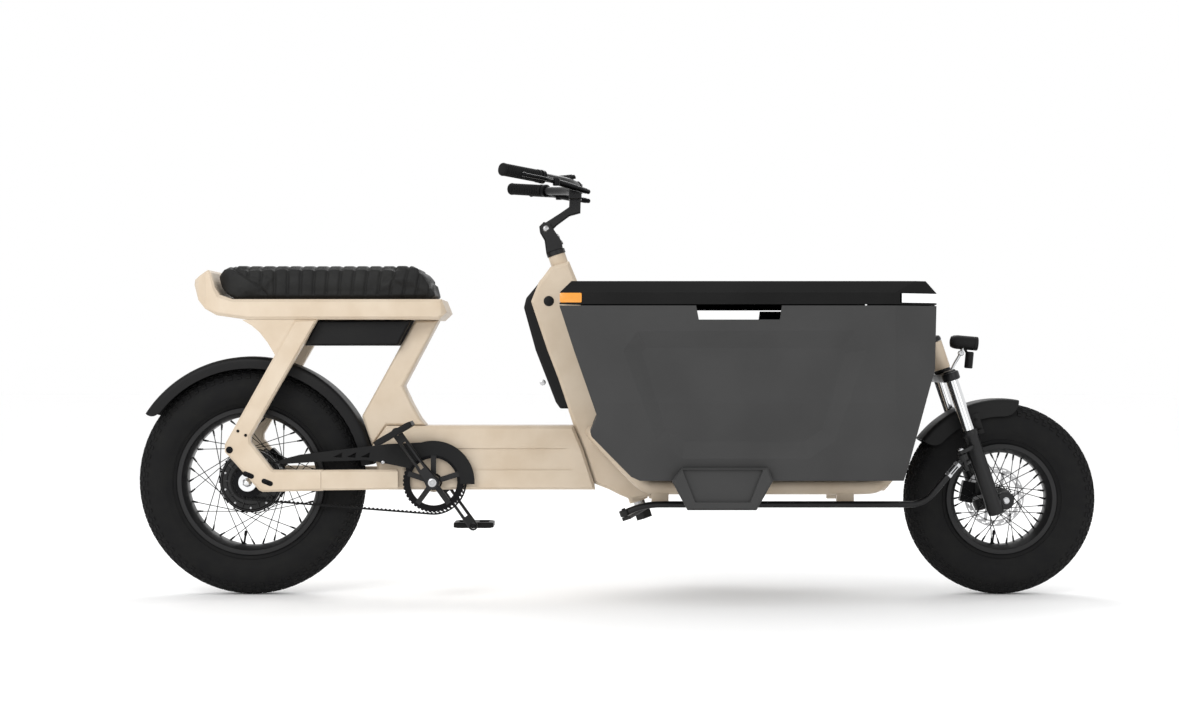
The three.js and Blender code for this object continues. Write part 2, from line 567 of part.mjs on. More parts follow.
const HINGE = { x: BOX_FRONT + 4, z: BOX_TOP + 2, radius: 4, out: 190 };
const reflectorSlot = (xLow, xHigh) => [
  block(xLow, xHigh, -boxHalf - 5, -boxHalf + 3, lidBottom + 4, lidBottom + LID_BAND),
  block(xLow, xHigh, boxHalf - 3, boxHalf + 5, lidBottom + 4, lidBottom + LID_BAND),
];
const ORANGE_REFLECTOR = 56;
const WHITE_REFLECTOR = 98;
// The white reflector wraps round the lid's front from one side to the other.
function frontBand(inset, low, high) {
  const [behind, aside] = [BOX_FRONT - WHITE_REFLECTOR + inset, boxHalf + 20];
  return cut(boxPlan(inset, low, high), block(BOX_REAR - 20, behind, -aside, aside, 700, 900));
}
part("lid", cut(
  cut(lidBody(0, lidBottom), towerGap(0)),
  cut(lidBody(LID_WALL, lidBottom - 5), towerGap(LID_WALL)),
  ...reflectorSlot(BOX_REAR - 5, BOX_REAR + ORANGE_REFLECTOR),
  cut(frontBand(-2, lidBottom + 4, lidBottom + LID_BAND - 1), frontBand(3, lidBottom, lidBottom + LID_BAND)),
), "lid_plastic");
const lidReflector = (sign) => block(
  BOX_REAR + 1, BOX_REAR + ORANGE_REFLECTOR - FIT,
  ...(sign < 0 ? [-boxHalf, -boxHalf + 3 - FIT] : [boxHalf - 3 + FIT, boxHalf]),
  lidBottom + 4 + FIT, lidBottom + LID_BAND - FIT);
part("rear_reflector_right", lidReflector(-1), "orange_lens");
part("rear_reflector_left", lidReflector(1), "orange_lens");
part("front_reflector", cut(
  frontBand(0, lidBottom + 4 + FIT, lidBottom + LID_BAND - 1 - FIT),
  frontBand(3 - FIT, lidBottom, lidBottom + LID_BAND),
  block(0, BOX_FRONT - WHITE_REFLECTOR + 3, -boxHalf - 20, boxHalf + 20, 700, 900)), "white_lens");
part("lid_hinge", join(
  bar([HINGE.x + 2, -HINGE.out, HINGE.z], [HINGE.x + 2, HINGE.out, HINGE.z], HINGE.radius, 8),
  ...[-130, 130].map((y) => block(BOX_FRONT + FIT, BOX_FRONT + 3, y - 50, y + 50, 726, HINGE.z))),
"black_paint");

// ---------------------------------------------------------------- mudguards
function mudguard(radius, half, skirt, wedge, sides = ROUND) {
  const shell = [
    [skirt, half], [radius - 12, half], [radius, half - 11], [radius, -half + 11], [radius - 12, -half],
    [skirt, -half], [skirt, -half + 3], [radius - 13.5, -half + 3], [radius - 3, -half + 13],
    [radius - 3, half - 13], [radius - 13.5, half - 3], [skirt, half - 3],
  ];
  return common(turned([...shell, shell[0]], sides), wedge);
}
const fan = (reach, from, to) => plate([[0, 0], ...arcPoints(0, 0, reach, from, to, 6)], -100, 100);
part("rear_mudguard", mudguard(REAR_TYRE_RADIUS + 29, guardHalf, REAR_TYRE_RADIUS - 3, fan(420, 8, 147)),
  "black_plastic", group(bicycle, REAR_AXLE));

// ---------------------------------------------------------------- belt drive
const driveLength = REAR_AXLE.distanceTo(CRANK);
const beltAngle = Math.asin((FRONT_PULLEY_RADIUS - REAR_PULLEY_RADIUS) / driveLength) / DEGREE;
function beltLoop(offset, low, high) {
  const wrap = 90 + beltAngle;
  return plate([
    ...arcPoints(CRANK.x, CRANK.z, FRONT_PULLEY_RADIUS + offset, -wrap, wrap, 16),
    ...arcPoints(REAR_AXLE.x, REAR_AXLE.z, REAR_PULLEY_RADIUS + offset, wrap, 360 - wrap, 10),
  ], low, high);
}
part("drive_belt", cut(
  beltLoop(RUNNING + BELT_THICKNESS, BELT_PLANE - BELT_WIDTH / 2, BELT_PLANE + BELT_WIDTH / 2),
  beltLoop(RUNNING, BELT_PLANE - BELT_WIDTH, BELT_PLANE + BELT_WIDTH)), "rubber");
const cog = group(bicycle, REAR_AXLE);
part("rear_sprocket", ring(FREEHUB_RADIUS + RUNNING, REAR_PULLEY_RADIUS, BELT_PLANE + 1, BELT_PLANE + 8, 24),
  "black_paint", cog);

const GUARD_OUTER = 108;
const GUARD_INNER = 70;
const GUARD_PLANE = BELT_PLANE - 12;
part("belt_guard", join(
  plate([
    ...arcPoints(CRANK.x, CRANK.z, GUARD_INNER, 150, -4, 10),
    ...arcPoints(CRANK.x, CRANK.z, GUARD_OUTER, -3, 107, 9),
    ...withRear([[-600, 400], [-829, 372], [-882, 356], [-880, 347], [-769, 354], [-655, 358], [-580, 344]]),
  ], GUARD_PLANE - 3, GUARD_PLANE),
  bar([rearSlide - 612, GUARD_PLANE - 1, 352], [rearSlide - 612, -beamHalf - FIT, 352], 5, 8)),
"black_plastic");

// ---------------------------------------------------------------- cranks and pedals
const CRANK_INNER = CRANK_BELT_ROOM - BELT_PLANE;
const CRANK_THICKNESS = 14;
const SPINDLE_RADIUS = 10;
const PEDAL_AXLE_RADIUS = 7;
const crankSet = group(bicycle, CRANK);
part("bottom_bracket", ring(SPINDLE_RADIUS + RUNNING, BRACKET_RADIUS, -beamHalf - 3, beamHalf + 3, 16),
  "black_paint", group(bicycle, CRANK));
const crankOuter = CRANK_INNER + CRANK_THICKNESS;
part("crank_spindle", bar([0, -crankOuter + 2, 0], [0, crankOuter - 2, 0], SPINDLE_RADIUS, 12), "bare_metal",
  crankSet);
part("belt_ring", ring(58, FRONT_PULLEY_RADIUS, BELT_PLANE - 4, BELT_PLANE + 4, 32), "black_paint", crankSet);

// A crank arm that points straight ahead, with its outer face towards -Y.
function crankArm() {
  const arm = plate([
    ...arcPoints(0, 0, 19, 60, 300, 8), [60, -12], ...arcPoints(CRANK_LENGTH, 0, 13, -90, 90, 6), [60, 12],
  ], -crankOuter, -CRANK_INNER, 3);
  const slot = plate([[45, -5], [128, -5], [128, 5], [45, 5]], -crankOuter - 1, -CRANK_INNER + 1);
  const holes = [[0, SPINDLE_RADIUS + FIT], [CRANK_LENGTH, PEDAL_AXLE_RADIUS + RUNNING]].map(([x, radius]) =>
    bar([x, -crankOuter - 5, 0], [x, 0, 0], radius, 12));
  return { arm: cut(arm, slot), holes };
}
function spider() {
  const hub = bar([0, -CRANK_INNER - 2, 0], [0, BELT_PLANE - 5, 0], 19, 16);
  const arms = Array.from({ length: 5 }, (_, i) =>
    block(10, 70, BELT_PLANE - 10, BELT_PLANE - 4 - FIT, -7, 7).rotateY(((i * 72 + 36) * Math.PI) / 180));
  return join(hub, ...arms);
}
const toAngle = (shape, angle) => shape.clone().rotateY(-angle);
const { arm, holes } = crankArm();
part("crank_arm_right", toAngle(cut(join(arm, spider()), ...holes), CRANK_LEAN), "black_paint", crankSet);
part("crank_arm_left", mirrored(toAngle(cut(arm, ...holes), CRANK_LEAN + Math.PI)), "black_paint", crankSet);

// A pedal outboard of the right crank with its axle at the origin.
function pedal() {
  const inner = -crankOuter - 8;
  const [x, thick] = [PEDAL_LENGTH / 2, 8];
  const body = cut(
    plate([[-x, -6], [-x + 10, -thick], [x - 10, -thick], [x, -6], [x, 6], [x - 10, thick], [-x + 10, thick],
      [-x, 6]], inner - PEDAL_WIDTH, inner, 3),
    ...[-1, 1].map((side) => block(...(side < 0 ? [-x + 13, -14] : [14, x - 13]), inner - PEDAL_WIDTH + 14,
      inner - 14, -20, 20)));
  return join(body, bar([0, inner - PEDAL_WIDTH + 10, 0], [0, -CRANK_INNER - 1, 0], PEDAL_AXLE_RADIUS, 12));
}
const pedalTilt = 30 * DEGREE;
const pedalPlace = (angle) =>
  new THREE.Vector3(Math.cos(angle), 0, Math.sin(angle)).multiplyScalar(CRANK_LENGTH).add(CRANK);
part("pedal_right", toAngle(pedal(), pedalTilt), "black_plastic", group(bicycle, pedalPlace(CRANK_LEAN)));
part("pedal_left", mirrored(pedal()), "black_plastic", group(bicycle, pedalPlace(CRANK_LEAN + Math.PI)));

// ---------------------------------------------------------------- rear axle and brakes
const nut = STAY_INNER + 1 + FIT;
part("rear_axle", turned([
  [0, -nut - 13], [7, -nut - 12], [11, -nut - 8], [11, -nut], [AXLE_RADIUS, -nut], [AXLE_RADIUS, nut],
  [11, nut], [11, nut + 8], [7, nut + 12], [0, nut + 13],
], 16), "bare_metal", group(bicycle, REAR_AXLE));
// A caliper that straddles the disc at a point of its rim and reaches out to the frame.
function caliper(along, across, outer) {
  return cut(
    block(-along / 2, along / 2, DISC_OUT - 13, outer, -across / 2, across / 2),
    block(-along / 2 - 1, along / 2 + 1, DISC_OUT - 1 - RUNNING, DISC_OUT + 1 + RUNNING,
      -across, across / 2 - 8));
}
// The caliper turned to sit on the disc's rim, its bridge outward, at an angle up from straight ahead.
const onDisc = (shape, angle) => shape.rotateY(Math.PI / 2 - angle)
  .translate((DISC_RADIUS - 6) * Math.cos(angle), 0, (DISC_RADIUS - 6) * Math.sin(angle));
part("rear_brake_caliper", onDisc(caliper(58, 34, DROPOUT_INNER - FIT), 45 * DEGREE), "black_paint",
  group(bicycle, REAR_AXLE));

// ---------------------------------------------------------------- steering column, its arm and the stem
const column = group(bicycle, columnFoot, true);
const ARM_HEIGHT = -18; // middle of the steering arm, up the column's axis
const ARM_THICKNESS = 9;
part("steering_column", bar([0, 0, -46], [0, 0, COLUMN_FOOT_DROP + 26], COLUMN_RADIUS, 16),
  "bare_metal", column);
const armLow = ARM_HEIGHT - ARM_THICKNESS / 2;
const armHigh = ARM_HEIGHT + ARM_THICKNESS / 2;
const EYE_HALF = 8;
const PIN_RADIUS = 5;
function steeringArm() {
  const blade = slab([
    [-22, 18], [-34, -12], [-STEERING_ARM_BACK - 11, -STEERING_ARM_OUT - 4],
    [-STEERING_ARM_BACK + 11, -STEERING_ARM_OUT - 8], [14, -24], [62, -10], [62, 10], [14, 22],
  ], armLow, armHigh);
  const nutShape = bar([0, 0, armLow - 22], [0, 0, armLow + 1], 24, 6);
  const ball = new THREE.SphereGeometry(14, 12, 8).translate(60, 0, ARM_HEIGHT);
  const pin = bar([-STEERING_ARM_BACK, -STEERING_ARM_OUT, armLow + 1],
    [-STEERING_ARM_BACK, -STEERING_ARM_OUT, armHigh + 2 * EYE_HALF + 6], PIN_RADIUS, 12);
  return cut(join(blade, nutShape, ball, pin), bar([0, 0, -100], [0, 0, 100], COLUMN_RADIUS + FIT, 16));
}
part("steering_arm", steeringArm(), "black_paint", column);

const TILT_JOINT = new THREE.Vector3(-188, 0, 966);
part("stem_base", cut(
  join(
    plate([
      [-187, 899], [-143, 912], [-147, 934], [-166, 962], [-176, 980], [-194, 984], [-206, 972], [-204, 956],
      [-192, 935],
    ], -20, 20, 4),
    leaned(bar([0, 0, COLUMN_FOOT_DROP + FIT], [0, 0, COLUMN_FOOT_DROP + 12], 25, 20), columnFoot)),
  leaned(bar([0, 0, 0], [0, 0, COLUMN_FOOT_DROP + 26 + FIT], COLUMN_RADIUS + FIT, 16), columnFoot),
  block(-230, -120, -13, 13, 944, 1000)), "black_paint");
const BAR_CLAMP = new THREE.Vector3(-111, 0, 1074);
part("stem_arm", cut(
  join(
    plate([
      ...arcPoints(TILT_JOINT.x, TILT_JOINT.z, 15, 115, 300, 8), [-160, 975], [-126, 1000], [-97, 1008],
      [-96, 1050], [-126, 1050], [-127, 1024], [-150, 1008],
    ], -12, 12, 3),
    plate([[-128, 1044], [-94, 1044], [-94, 1084], [-101, 1091], [-121, 1091], [-128, 1084]], -22, 22, 3)),
  bar([BAR_CLAMP.x, -30, BAR_CLAMP.z], [BAR_CLAMP.x, 30, BAR_CLAMP.z], BAR_RADIUS + FIT, 12),
), "black_paint");

const grip = { inner: new THREE.Vector3(-184, -208, 1084), outer: new THREE.Vector3(-290, -296, 1097) };
const alongGrip = grip.outer.clone().sub(grip.inner).normalize();
const handlebarHalf = [
  [BAR_CLAMP.x, -30, BAR_CLAMP.z], [-108, -70, 1075], [-128, -140, 1079],
  grip.inner.toArray(), grip.outer.toArray(),
];
const otherSide = ([x, y, z]) => [x, -y, z];
part("handlebar", bentRod(
  [...[...handlebarHalf].reverse(), ...handlebarHalf.map(otherSide)], BAR_RADIUS, 8), "black_paint");
function gripSleeve() {
  const end = grip.outer.clone().addScaledVector(alongGrip, 4);
  const start = end.clone().addScaledVector(alongGrip, -GRIP_LENGTH);
  return cut(
    bar(start.toArray(), end.toArray(), GRIP_RADIUS, 16),
    bar(start.clone().addScaledVector(alongGrip, -20).toArray(), grip.outer.toArray(), BAR_RADIUS + FIT, 12));
}
part("grip_right", gripSleeve(), "rubber");
part("grip_left", mirrored(gripSleeve()), "rubber");

// The brake lever's housing clamps the bar inboard of the grip and points forward along it.
const LEVER_PIVOT = grip.inner.clone().addScaledVector(alongGrip, -6).add(new THREE.Vector3(22, -26, -12));
function leverHousing() {
  const clampAt = grip.inner.clone().addScaledVector(alongGrip, 8);
  const clampEnd = clampAt.clone().addScaledVector(alongGrip, 12);
  const front = new THREE.Vector3(-74, -150, 1052);
  return cut(
    join(
      bar(clampAt.toArray(), clampEnd.toArray(), BAR_RADIUS + 6, 12),
      bar(LEVER_PIVOT.toArray(), front.toArray(), 8, 10),
      bar(clampAt.clone().addScaledVector(alongGrip, 3).toArray(), LEVER_PIVOT.toArray(), 6.5, 8),
      bar(LEVER_PIVOT.clone().setZ(LEVER_PIVOT.z - 10).toArray(),
        LEVER_PIVOT.clone().setZ(LEVER_PIVOT.z + 9).toArray(), 9, 10)),
    bar(clampAt.clone().addScaledVector(alongGrip, -40).toArray(),
      clampEnd.clone().addScaledVector(alongGrip, 40).toArray(), BAR_RADIUS + 2 * FIT, 12));
}
part("brake_housing_right", leverHousing(), "black_paint");
part("brake_housing_left", mirrored(leverHousing()), "black_paint");
function brakeLever() {
  const start = LEVER_PIVOT.clone().addScaledVector(alongGrip, 15);
  const bend = start.clone().addScaledVector(alongGrip, 30).add(new THREE.Vector3(10, -10, 0));
  const tip = bend.clone().addScaledVector(alongGrip, 68);
  return bentRod([start.toArray(), bend.toArray(), tip.toArray()], 5, 8);
}
part("brake_lever_right", brakeLever(), "bare_metal");
part("brake_lever_left", mirrored(brakeLever()), "bare_metal");
part("display", plate([[-168, 1088], [-164, 1096], [-112, 1101], [-108, 1094], [-132, 1087]], -106, -64, 2),
  "black_plastic");

// ---------------------------------------------------------------- tie rod under the box
const EYE_UP = armHigh + 2 + EYE_HALF;
const rodRear = fromFoot(columnFoot, -STEERING_ARM_BACK, -STEERING_ARM_OUT, EYE_UP);
const FORK_ARM_UP = 147;
const rodFront = fromFoot(forkFoot, -STEERING_ARM_BACK, -STEERING_ARM_OUT, FORK_ARM_UP);
const ROD_HEIGHT = 247;
function rodEye(at) {
  return [
    leaned(bar([0, 0, -EYE_HALF], [0, 0, EYE_HALF], 13, 12), at),
    leaned(bar([0, 0, -EYE_HALF - 5], [0, 0, EYE_HALF + 5], PIN_RADIUS + 2, 12), at),
  ];
}
const rodY = -STEERING_ARM_OUT;
const rodPath = [
  rodRear.toArray(), [rodRear.x + 34, rodY, 239], [90, rodY, ROD_HEIGHT],
  ...withFront([[768, rodY, ROD_HEIGHT], [800, rodY, ROD_HEIGHT + 14]]), rodFront.toArray(),
];
const [rearEye, rearHole] = rodEye(rodRear);
const [frontEye, frontHole] = rodEye(rodFront);
const rod = join(bentRod(rodPath, TIE_ROD_RADIUS), rearEye, frontEye);
part("tie_rod", cut(rod, rearHole, frontHole), "black_paint");

// ---------------------------------------------------------------- fork and its headlight
const CROWN_LOW = 341;
const CROWN_HIGH = 363;
const LOWER_TOP = 200;
const forkFrame = group(bicycle, forkFoot, true);
function stadium(radius, low, high) {
  return slab([
    ...arcPoints(0, FORK_SPREAD, radius, 0, 180, 8), ...arcPoints(0, -FORK_SPREAD, radius, 180, 360, 8),
  ], low, high, 3);
}
const legs = (low, high, radius, sides = 16) => [-1, 1].map((side) =>
  bar([0, side * FORK_SPREAD, low], [0, side * FORK_SPREAD, high], radius, sides));
const LAMP_JOINT = { forward: 61, up: 396 }; // where the headlight tilts on its bracket
part("fork_crown", join(
  stadium(23, CROWN_LOW, CROWN_HIGH),
  bar([0, 0, CROWN_LOW + 2], [0, 0, HEAD_TUBE_HIGH + 16], STEERER_RADIUS, 16),
  ...legs(112, CROWN_HIGH - 3, STANCHION_RADIUS),
  bar([0, 0, HEAD_TUBE_HIGH + RUNNING], [0, 0, HEAD_TUBE_HIGH + 16], HEAD_TUBE_RADIUS, 16),
  bentRod([[20, 0, CROWN_HIGH - 6], [34, 0, CROWN_HIGH + 10], [LAMP_JOINT.forward, 0, LAMP_JOINT.up]], 4),
  bar([LAMP_JOINT.forward, -6, LAMP_JOINT.up], [LAMP_JOINT.forward, 6, LAMP_JOINT.up], 6, 10),
), "black_paint", forkFrame);
const lampJoint = fromFoot(forkFoot, LAMP_JOINT.forward, 0, LAMP_JOINT.up);
const LAMP_LENGTH = 73;
const LAMP_RADIUS = 18.5;
const lampCentre = new THREE.Vector3(frontSlide + 919, 0, 665);
function headlight() {
  const nose = new THREE.Vector3(Math.cos(5 * DEGREE), 0, -Math.sin(5 * DEGREE));
  nose.multiplyScalar(LAMP_LENGTH / 2);
  const [back, front] = [lampCentre.clone().sub(nose), lampCentre.clone().add(nose)];
  const body = bar(back.toArray(), front.toArray(), LAMP_RADIUS, 20);
  const lugs = [-1, 1].map((side) =>
    bar([lampJoint.x, side * 7, lampJoint.z], [lampJoint.x, side * 10, lampJoint.z], 7, 10));
  const forks = [-1, 1].map((side) =>
    bar([lampJoint.x, side * 8.5, lampJoint.z], [lampCentre.x, side * 8.5, lampCentre.z], 2.2, 6));
  const link = bar([lampCentre.x, 0, lampCentre.z - 12], [lampCentre.x + 13, 0, 630], 3.5, 8);
  const horn = bar([lampCentre.x + 16, 0, 641], [lampCentre.x + 12, 0, 597], 11, 12);
  return join(body, ...lugs, ...forks, link, horn);
}
part("headlight", headlight(), "black_plastic");

const lowers = group(bicycle, forkFoot, true);
function forkLowers() {
  const arm = slab([
    [8, -FORK_SPREAD - 8], [-12, -FORK_SPREAD - 2], [-STEERING_ARM_BACK - 11, -STEERING_ARM_OUT + 2],
    [-STEERING_ARM_BACK - 4, -STEERING_ARM_OUT - 10], [-STEERING_ARM_BACK + 9, -STEERING_ARM_OUT - 6],
  ], FORK_ARM_UP + EYE_HALF + 2, FORK_ARM_UP + EYE_HALF + 12);
  const pin = bar(
    [-STEERING_ARM_BACK, -STEERING_ARM_OUT, FORK_ARM_UP + EYE_HALF + 6],
    [-STEERING_ARM_BACK, -STEERING_ARM_OUT, FORK_ARM_UP - 36], PIN_RADIUS, 12);
  const dropouts = [-1, 1].map((side) =>
    bar([FORK_REACH - 2, side * 78, 0], [FORK_REACH - 2, side * 98, 0], 24, 16));
  const ends = [-1, 1].map((side) => block(-4, 30, side * 88 - 9, side * 88 + 9, -20, 20));
  const axle = bar([FORK_REACH, -104, 0], [FORK_REACH, 104, 0], AXLE_RADIUS, 16);
  return cut(
    join(...legs(-26, LOWER_TOP, LOWER_LEG_RADIUS), arm, pin, ...dropouts, ...ends, axle),
    ...legs(60, LOWER_TOP + 5, STANCHION_RADIUS + 0.9));
}
part("fork_lowers", forkLowers(), "black_paint", lowers);
const frontAxleHere = [FORK_REACH, 0, 0];
// The front mudguard hangs on a strap and a lug inside each fork leg.
function frontMudguard() {
  const half = guardHalf - 1;
  const shell = mudguard(FRONT_TYRE_RADIUS + 12, half, FRONT_TYRE_RADIUS - 35, fan(330, 62, 125));
  const fixings = join(
    block(-14, 12, half - 2.5, half + 3, 180, 240),
    block(-10, 8, half, FORK_SPREAD - LOWER_LEG_RADIUS - FIT, 182, 196));
  return join(shell.translate(...frontAxleHere), fixings, mirrored(fixings));
}
part("front_mudguard", frontMudguard(), "black_plastic", lowers);
part("front_brake_caliper", onDisc(caliper(56, 34, FORK_SPREAD - LOWER_LEG_RADIUS - FIT), 151 * DEGREE)
  .translate(...frontAxleHere), "black_paint", lowers);

// ---------------------------------------------------------------- centre stand, folded up between the rails
const STAND_PIVOT = { x: 322, z: CRADLE_HEIGHT };
const STAND_LENGTH = 278;
const STAND_OUT = 66;
const STAND_TUBE = 8.5;
function kickstand() {
  const { x, z } = STAND_PIVOT;
  const tip = x + STAND_LENGTH;
  const leg = join(
    bar([x, -STAND_OUT, z], [tip, -STAND_OUT, z], STAND_TUBE, 8),
    block(tip - 22, tip + 4, -STAND_OUT - 12, 12 - STAND_OUT, z - 11, z + 11));
  const pivotHalf = CRADLE_SPREAD - CRADLE_RADIUS - RUNNING;
  const brace = x + 0.68 * STAND_LENGTH;
  return join(leg, mirrored(leg), bar([x, -pivotHalf, z], [x, pivotHalf, z], STAND_TUBE, 10),
    bar([brace, -STAND_OUT, z], [brace, STAND_OUT, z], 6, 8));
}
part("kickstand", kickstand(), "black_paint");

export default bicycle;
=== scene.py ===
# Long front-loading cargo bicycle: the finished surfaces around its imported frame.
# Lengths here are millimetres in the bicycle's own frame, and the mesh helpers turn them to metres.
import json
import math

import bmesh
import bpy
from mathutils import Matrix, Vector


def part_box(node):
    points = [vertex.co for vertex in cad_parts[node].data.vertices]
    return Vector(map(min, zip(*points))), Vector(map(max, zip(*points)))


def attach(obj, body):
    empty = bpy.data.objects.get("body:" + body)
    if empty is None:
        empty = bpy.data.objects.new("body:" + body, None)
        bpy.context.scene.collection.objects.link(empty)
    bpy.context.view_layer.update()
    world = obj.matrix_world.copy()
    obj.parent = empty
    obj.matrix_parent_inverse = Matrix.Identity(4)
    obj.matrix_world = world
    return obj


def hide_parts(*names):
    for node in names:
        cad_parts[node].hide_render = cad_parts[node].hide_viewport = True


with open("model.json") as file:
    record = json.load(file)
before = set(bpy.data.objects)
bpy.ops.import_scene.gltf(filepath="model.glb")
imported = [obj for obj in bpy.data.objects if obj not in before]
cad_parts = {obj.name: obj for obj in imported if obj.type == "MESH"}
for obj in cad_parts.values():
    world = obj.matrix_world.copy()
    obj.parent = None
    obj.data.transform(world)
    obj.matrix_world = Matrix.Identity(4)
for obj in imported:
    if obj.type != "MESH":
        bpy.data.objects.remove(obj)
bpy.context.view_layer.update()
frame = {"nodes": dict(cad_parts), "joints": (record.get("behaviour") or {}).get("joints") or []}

MM = 0.001
UP, LEFT, AHEAD = Vector((0, 0, 1)), Vector((0, 1, 0)), Vector((1, 0, 0))
SIDES = (-1, 1)  # the rider's right, then the rider's left


# ------------------------------------------------------------ places read from the frame
def low(node):
    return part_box(node)[0] / MM


def high(node):
    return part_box(node)[1] / MM


def middle(node):
    return (low(node) + high(node)) / 2


joints = {joint["name"]: joint for joint in frame["joints"]}


def pivot(name):
    return Vector(joints[name]["pos_m"]) / MM


REAR_AXLE, FRONT_AXLE, CRANK = pivot("rear_wheel_spin"), pivot("front_wheel_spin"), pivot("crank_spin")
REAR_RADIUS, FRONT_RADIUS = REAR_AXLE.z, FRONT_AXLE.z
STEER_UP = Vector(joints["steering"]["axis"])
STEER_AHEAD = LEFT.cross(STEER_UP)
FORK_FOOT = pivot("fork_steer")
COLUMN_TOP = pivot("steering")


def leaning(origin):
    """The frame whose +Z runs up a steering axis and whose +X points ahead, at an origin."""
    turn = Matrix((STEER_AHEAD, LEFT, STEER_UP)).transposed().to_4x4()
    return Matrix.Translation(origin) @ turn


FORK = leaning(FORK_FOOT)
COLUMN = leaning(COLUMN_TOP)


# ------------------------------------------------------------ materials
def colour(hex_code):
    """An sRGB hex colour as the linear values that a shader takes."""
    channels = [int(hex_code[i:i + 2], 16) / 255 for i in (1, 3, 5)]
    linear = [c / 12.92 if c <= 0.04045 else ((c + 0.055) / 1.055) ** 2.4 for c in channels]
    return (*linear, 1)


def add(tree, kind, settings=None, **inputs):
    """A node with its settings, and its inputs set to values or linked to other nodes' outputs."""
    node = tree.nodes.new("ShaderNode" + kind)
    for name, value in (settings or {}).items():
        setattr(node, name, value)
    for name, value in inputs.items():
        socket = node.inputs[int(name[1:])] if name[1:].isdigit() else node.inputs[name.replace("_", " ")]
        if isinstance(value, bpy.types.NodeSocket):
            tree.links.new(value, socket)
        else:
            socket.default_value = value
    return node


def finish(name, base, roughness, metallic=0, **sockets):
    """A material with its Principled shader, and the Object coordinates in millimetres."""
    material = bpy.data.materials.new(name)
    material.use_nodes = True
    material.diffuse_color = colour(base)
    tree = material.node_tree
    shader = tree.nodes["Principled BSDF"]
    shader.inputs["Base Color"].default_value = colour(base)
    shader.inputs["Roughness"].default_value = roughness
    shader.inputs["Metallic"].default_value = metallic
    for socket, value in sockets.items():
        shader.inputs[socket.replace("_", " ")].default_value = value
    place = add(tree, "TexCoord").outputs["Object"]
    return material, tree, shader, place


def grain(tree, shader, place, size, depth, height=None):
    """Fine noise of a size in millimetres that lifts the surface by a depth in millimetres."""
    pattern = height or add(tree, "TexNoise", Vector=place, Scale=1 / (size * MM), Detail=3.0).outputs["Fac"]
    bump = add(tree, "Bump", Height=pattern, Strength=1.0, Distance=depth * MM)
    tree.links.new(bump.outputs["Normal"], shader.inputs["Normal"])


def mottle(tree, shader, place, size, dark, light, soft=(0.35, 0.65)):
    """Slow drift between two close colours, a patch of a size in millimetres wide."""
    patches = add(tree, "TexNoise", Vector=place, Scale=1 / (size * MM), Detail=4.0).outputs["Fac"]
    ramp = add(tree, "ValToRGB", Fac=patches)
    for stop, position, tone in zip(ramp.color_ramp.elements, soft, (dark, light)):
        stop.position = position
        stop.color = colour(tone)
    tree.links.new(ramp.outputs["Color"], shader.inputs["Base Color"])


def vary_roughness(tree, shader, place, size, smooth, rough):
    """Smudges of a size in millimetres between a smoother and a rougher finish."""
    smudges = add(tree, "TexNoise", Vector=place, Scale=1 / (size * MM), Detail=5.0).outputs["Fac"]
    spread = add(tree, "MapRange", Value=smudges, From_Min=0.3, From_Max=0.7, To_Min=smooth, To_Max=rough)
    tree.links.new(spread.outputs["Result"], shader.inputs["Roughness"])


def powder_coat(name, base, dark, light, roughness):
    """Powder-coated steel: a thick even paint whose melted grains leave a faint orange peel."""
    material, tree, shader, place = finish(name, base, roughness, Coat_Weight=0.12, Coat_Roughness=0.25,
                                           Specular_IOR_Level=0.25)
    mottle(tree, shader, place, 90, dark, light)
    vary_roughness(tree, shader, place, 40, roughness - 0.05, roughness + 0.07)
    grain(tree, shader, place, 1.6, 0.05)
    return material


def moulded_plastic(name, base, dark, light, roughness, pebble, depth, shine):
    """Injection-moulded plastic with the fine pebbled grain of an etched mould."""
    material, tree, shader, place = finish(name, base, roughness, IOR=1.49, Specular_IOR_Level=shine)
    mottle(tree, shader, place, 120, dark, light)
    cells = add(tree, "TexVoronoi", {"feature": "SMOOTH_F1"}, Vector=place, Scale=1 / (pebble * MM))
    vary_roughness(tree, shader, place, 60, roughness - 0.04, roughness + 0.06)
    grain(tree, shader, place, pebble, depth, height=cells.outputs["Distance"])
    return material


def black_rubber(name, base, dust, roughness, size):
    """Vulcanised rubber: dull, with a bloom of grey dust and a fine matt tooth."""
    material, tree, shader, place = finish(name, base, roughness, Specular_IOR_Level=0.15)
    mottle(tree, shader, place, 35, base, dust, (0.4, 0.8))
    grain(tree, shader, place, size, 0.12)
    return material


def turned_metal(name, base, roughness, stretch, fine=0.6, depth=0.02):
    """Bare metal with tool marks drawn out along one direction of the piece."""
    material, tree, shader, place = finish(name, base, roughness, 1.0)
    drawn = add(tree, "Mapping", Vector=place, Scale=stretch).outputs["Vector"]
    marks = add(tree, "TexNoise", Vector=drawn, Scale=1 / (fine * MM), Detail=2.0).outputs["Fac"]
    spread = add(tree, "MapRange", Value=marks, To_Min=roughness - 0.08, To_Max=roughness + 0.12)
    tree.links.new(spread.outputs["Result"], shader.inputs["Roughness"])
    grain(tree, shader, place, fine, depth, height=marks)
    return material


def seat_vinyl():
    """Leather-look vinyl: a soft grey-black skin with a hide's creased cells."""
    material, tree, shader, place = finish("grained_vinyl", "#161616", 0.52, Sheen_Weight=0.02,
                                           Sheen_Roughness=0.5, Specular_IOR_Level=0.22)
    mottle(tree, shader, place, 70, "#131313", "#1A1A19")
    hide = add(tree, "TexVoronoi", {"feature": "DISTANCE_TO_EDGE"}, Vector=place, Scale=1 / (2.4 * MM))
    crease = add(tree, "MapRange", Value=hide.outputs["Distance"], From_Max=0.12)
    grain(tree, shader, place, 2.4, 0.14, height=crease.outputs["Result"])
    vary_roughness(tree, shader, place, 50, 0.48, 0.62)
    return material


